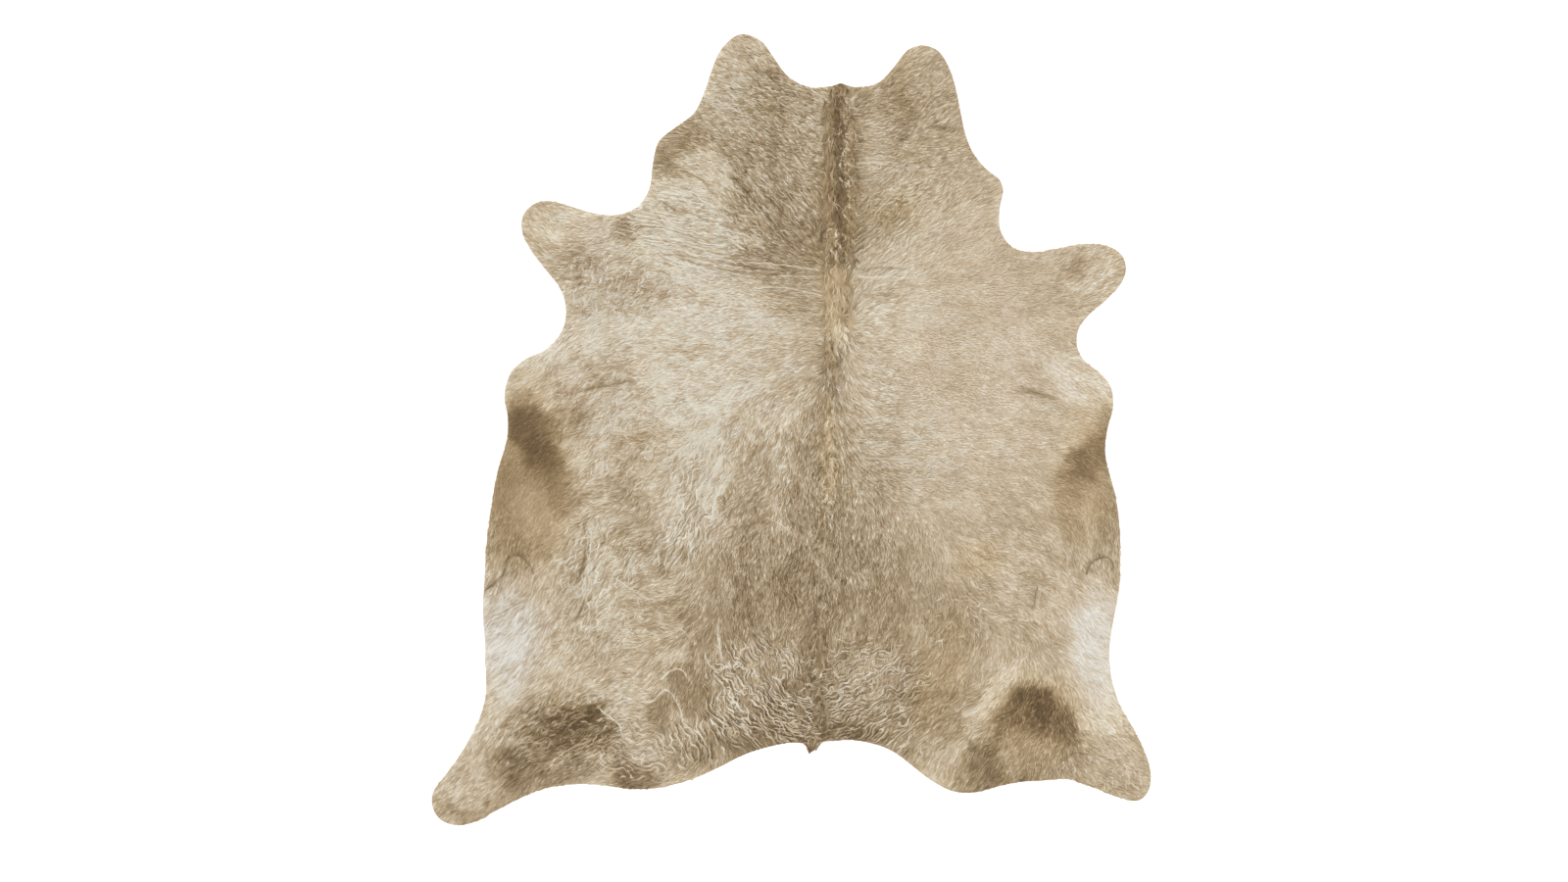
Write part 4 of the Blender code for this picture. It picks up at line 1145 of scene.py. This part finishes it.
def crinkle_lines(number, turn, spacing, stretch):
    """A function that gives each place its count across a field of wavy lines, which is whole on a line."""
    along, across = direction(np.radians(turn)), direction(np.radians(turn + 90))

    def lines_passed(places):
        flat = np.stack([places @ along / stretch, places @ across], axis=-1)
        sway = WAVE * noise(flat, WAVE_SIZE * spacing * MM, WAVE_SEED + number)
        curl = CURL * noise(places, CURL_SIZE * spacing * MM, CURL_SEED + number)
        return places @ across / (spacing * MM) + sway + curl

    return lines_passed


def heading(lines_passed, places):
    """Which way the lines run at each place, in radians."""
    slope = [lines_passed(places + step) - lines_passed(places - step) for step in ((MM, 0), (0, MM))]
    return np.arctan2(slope[0], -slope[1])


def paths_along(lines_passed, spots, length):
    """Paths of this length from the spots along the lines, none of them turning back."""
    angle = heading(lines_passed, spots)
    places = [spots]
    for _ in range(STRAND_POINTS - 1):
        turned = heading(lines_passed, places[-1])
        angle = np.where(np.cos(turned - angle) < 0, turned + np.pi, turned)
        places.append(places[-1] + length / (STRAND_POINTS - 1) * direction(angle))
    return np.stack(places, axis=1)


def crinkle_strands(rng):
    """Strands along broken, wavy lines that lie side by side: ridges, and the dips beside them in the
    opposite tone, painted shade beside light ridges.
    """
    made = []
    for number, (_, shape, turn, spacing, stretch, length, shift, count) in enumerate(CRINKLES):
        lines_passed = crinkle_lines(number, turn, spacing, stretch)
        for beside, share in ((0.0, 1.0), (DIP_PLACE, DIP_SHARE)):
            spots = scattered(rng, shape, TRIES_A_CRINKLE * count)
            unbroken = noise(spots, BREAK_SPACING, BREAK_SEED) > BREAK_LEVEL
            passed = lines_passed(spots) - beside
            on_line = np.abs(passed - np.round(passed)) < LINE_NEARNESS
            paths = paths_along(lines_passed, spots[unbroken & on_line][:count], length * MM)
            paths = paths[rim_distance.along(paths).min(axis=1) > 0]
            middle = paths[:, STRAND_POINTS // 2]
            tone = tone_at(middle, flow_at(middle)) + share * shift
            made.append(laid_strands(rng, paths, tone, *CRINKLE_LOOK))
    return made


def make_strands():
    """Three pieces: the crest with the tail tuft, the curls with the ridges and painted-shade creases, and
    the crinkles.
    """
    rng = np.random.default_rng(SEED + 1)
    crest, curls = [], []
    for _, shape, count, *look in TUFTS:
        on_spine = abs(shape[0] - SPINE_X) < SPINE_REACH and shape[3] < SPINE_HALF_WIDTH
        (crest if on_spine else curls).append(tuft_strands(rng, scattered(rng, shape, count), *look))
    crest += tail_strands(rng)
    curls += line_strands(rng)
    pieces = (("crest_strands", crest), ("curl_strands", curls), ("crinkle_strands", crinkle_strands(rng)))
    return [strand_mesh(name, *(np.concatenate(parts) for parts in zip(*made))) for name, made in pieces]


def linear(colour):
    """A screen colour from 0 to 255 as a linear one from 0 to 1."""
    c = np.array(colour) / WHITE
    return np.where(c > 0.04045, ((c + 0.055) / 1.055)**2.4, c / 12.92)


def new_material(name, roughness):
    material = bpy.data.materials.new(name)
    material.use_nodes = True
    shader = material.node_tree.nodes["Principled BSDF"]
    shader.inputs["Roughness"].default_value = roughness
    return material.node_tree, shader, material


def tone_ramp(tree, tint):
    """A ramp from tone to colour, with the tint laid over the palette."""
    ramp = tree.nodes.new("ShaderNodeValToRGB").color_ramp
    for k, (tone, colour) in enumerate(PALETTE):
        stop = ramp.elements[k] if k < 2 else ramp.elements.new(tone / WHITE)
        stop.position = tone / WHITE
        stop.color = (*(linear(colour) * tint * COAT_GAIN), 1)
    return tree.nodes[-1]


def coat_chart(tree, tone):
    """A mix of the cool and the warm palette at this tone, with the warmth as its factor."""
    mix = tree.nodes.new("ShaderNodeMix")
    mix.data_type = "RGBA"
    for tint, socket in ((COOL, MIX_COOL), (WARM, MIX_WARM)):
        ramp = tone_ramp(tree, np.array(tint))
        tree.links.new(tone, ramp.inputs["Fac"])
        tree.links.new(ramp.outputs["Color"], mix.inputs[socket])
    return mix


def make_hair_material():
    """Hair, which takes its colour from its place on the chart: tone across, warmth up."""
    tree, shader, material = new_material("cow_hair", 0.58)
    shader.inputs["Specular IOR Level"].default_value = 0.35
    shader.inputs["Sheen Weight"].default_value = 0.12
    shader.inputs["Sheen Roughness"].default_value = 0.5
    place = tree.nodes.new("ShaderNodeUVMap")
    place.uv_map = "OFBake"
    split = tree.nodes.new("ShaderNodeSeparateXYZ")
    tree.links.new(place.outputs["UV"], split.inputs[0])
    chart = coat_chart(tree, split.outputs["X"])
    tree.links.new(split.outputs["Y"], chart.inputs[MIX_FACTOR])
    tree.links.new(chart.outputs[MIX_COLOUR], shader.inputs["Base Color"])
    return material


def add_bump(tree, shader, scale, detail, distance):
    """Bumps from a fine noise, scale of them to a metre."""
    place = tree.nodes.new("ShaderNodeTexCoord")
    grain = tree.nodes.new("ShaderNodeTexNoise")
    grain.inputs["Scale"].default_value = scale
    grain.inputs["Detail"].default_value = detail
    tree.links.new(place.outputs["Object"], grain.inputs["Vector"])
    bump = tree.nodes.new("ShaderNodeBump")
    bump.inputs["Distance"].default_value = distance
    tree.links.new(grain.outputs["Fac"], bump.inputs["Height"])
    tree.links.new(bump.outputs["Normal"], shader.inputs["Normal"])
    return grain


def grain_material():
    """The skin between the roots of the hair, in the coat's tones darkened by the roots' painted shade."""
    tree, shader, material = new_material("skin_under_hair", 0.75)
    add_bump(tree, shader, 420, 3, 0.0008)
    tone = tree.nodes.new("ShaderNodeAttribute")
    tone.attribute_name = "tone"
    chart = coat_chart(tree, tone.outputs["Fac"])
    chart.inputs[MIX_FACTOR].default_value = BASE_WARMTH
    tree.links.new(chart.outputs[MIX_COLOUR], shader.inputs["Base Color"])
    return material


def mottled_leather(name, colour, scale, roughness, distance):
    """Leather in one colour with a lighter and darker nap."""
    tree, shader, material = new_material(name, roughness)
    grain = add_bump(tree, shader, scale, 6, distance)
    ramp = tree.nodes.new("ShaderNodeValToRGB")
    for stop, (place, share) in zip(ramp.color_ramp.elements, NAP_STOPS):
        stop.position = place
        stop.color = (*(share * np.array(colour)), 1)
    tree.links.new(grain.outputs["Fac"], ramp.inputs["Fac"])
    tree.links.new(ramp.outputs["Color"], shader.inputs["Base Color"])
    return material


def suede_material():
    return mottled_leather("flesh_side_suede", SUEDE, 60, 0.95, 0.0006)


def edge_material():
    return mottled_leather("cut_edge_leather", CUT_LEATHER, 300, 0.8, 0.0003)


def make_floor():
    """A plain pale floor just under the hide."""
    bpy.ops.mesh.primitive_plane_add(size=FLOOR_SIZE, location=(0, 0, -FLOOR_DEPTH))
    floor = bpy.context.object
    floor.name = "floor"
    _, shader, material = new_material("pale_floor", 0.9)
    shader.inputs["Base Color"].default_value = FLOOR_COLOUR
    floor.data.materials.append(material)


def make_light():
    """Even light all round, and a broad soft light from above."""
    world = bpy.data.worlds.new("soft_light")
    bpy.context.scene.world = world
    world.use_nodes = True
    sky = world.node_tree.nodes["Background"]
    sky.inputs["Color"].default_value = (1, 1, 1, 1)
    sky.inputs["Strength"].default_value = SKY_STRENGTH
    lamp = bpy.data.lights.new("soft_key", "SUN")
    lamp.energy = KEY_STRENGTH
    lamp.angle = np.radians(KEY_SOFTNESS)
    key = bpy.data.objects.new("soft_key", lamp)
    key.rotation_euler = Vector(KEY_DIRECTION).to_track_quat("-Z", "Y").to_euler()
    bpy.context.scene.collection.objects.link(key)


def make_camera():
    """A camera straight above the hide."""
    lens = bpy.data.cameras.new("camera")
    lens.lens = CAMERA_LENS
    camera = bpy.data.objects.new("camera", lens)
    camera.location = CAMERA_PLACE
    bpy.context.scene.collection.objects.link(camera)
    bpy.context.scene.camera = camera
    bpy.context.scene.view_settings.view_transform = "Standard"


cad_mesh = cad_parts["hide"].data
rim_ring = rim_of(cad_mesh)
cad_surface = BVHTree.FromPolygons([v.co for v in cad_mesh.vertices], [p.vertices for p in cad_mesh.polygons])
coat_map = ray_heights(cad_surface, 1.0, -1.0)
flesh_map = ray_heights(cad_surface, -1.0, 1.0)
grid_points = HideMap.points()
rim_side = np.where(is_inside(grid_points, rim_ring), 1, -1)
rim_distance = HideMap(rim_side * distance_to_line(grid_points, np.vstack([rim_ring, rim_ring[:1]])))
hair_material = make_hair_material()

skin = make_skin(rim_ring)
hair = [*make_coat(), *make_strands()]
for piece in (skin, *hair):
    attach(piece, "root")
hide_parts("hide")
make_floor()
make_light()
make_camera()
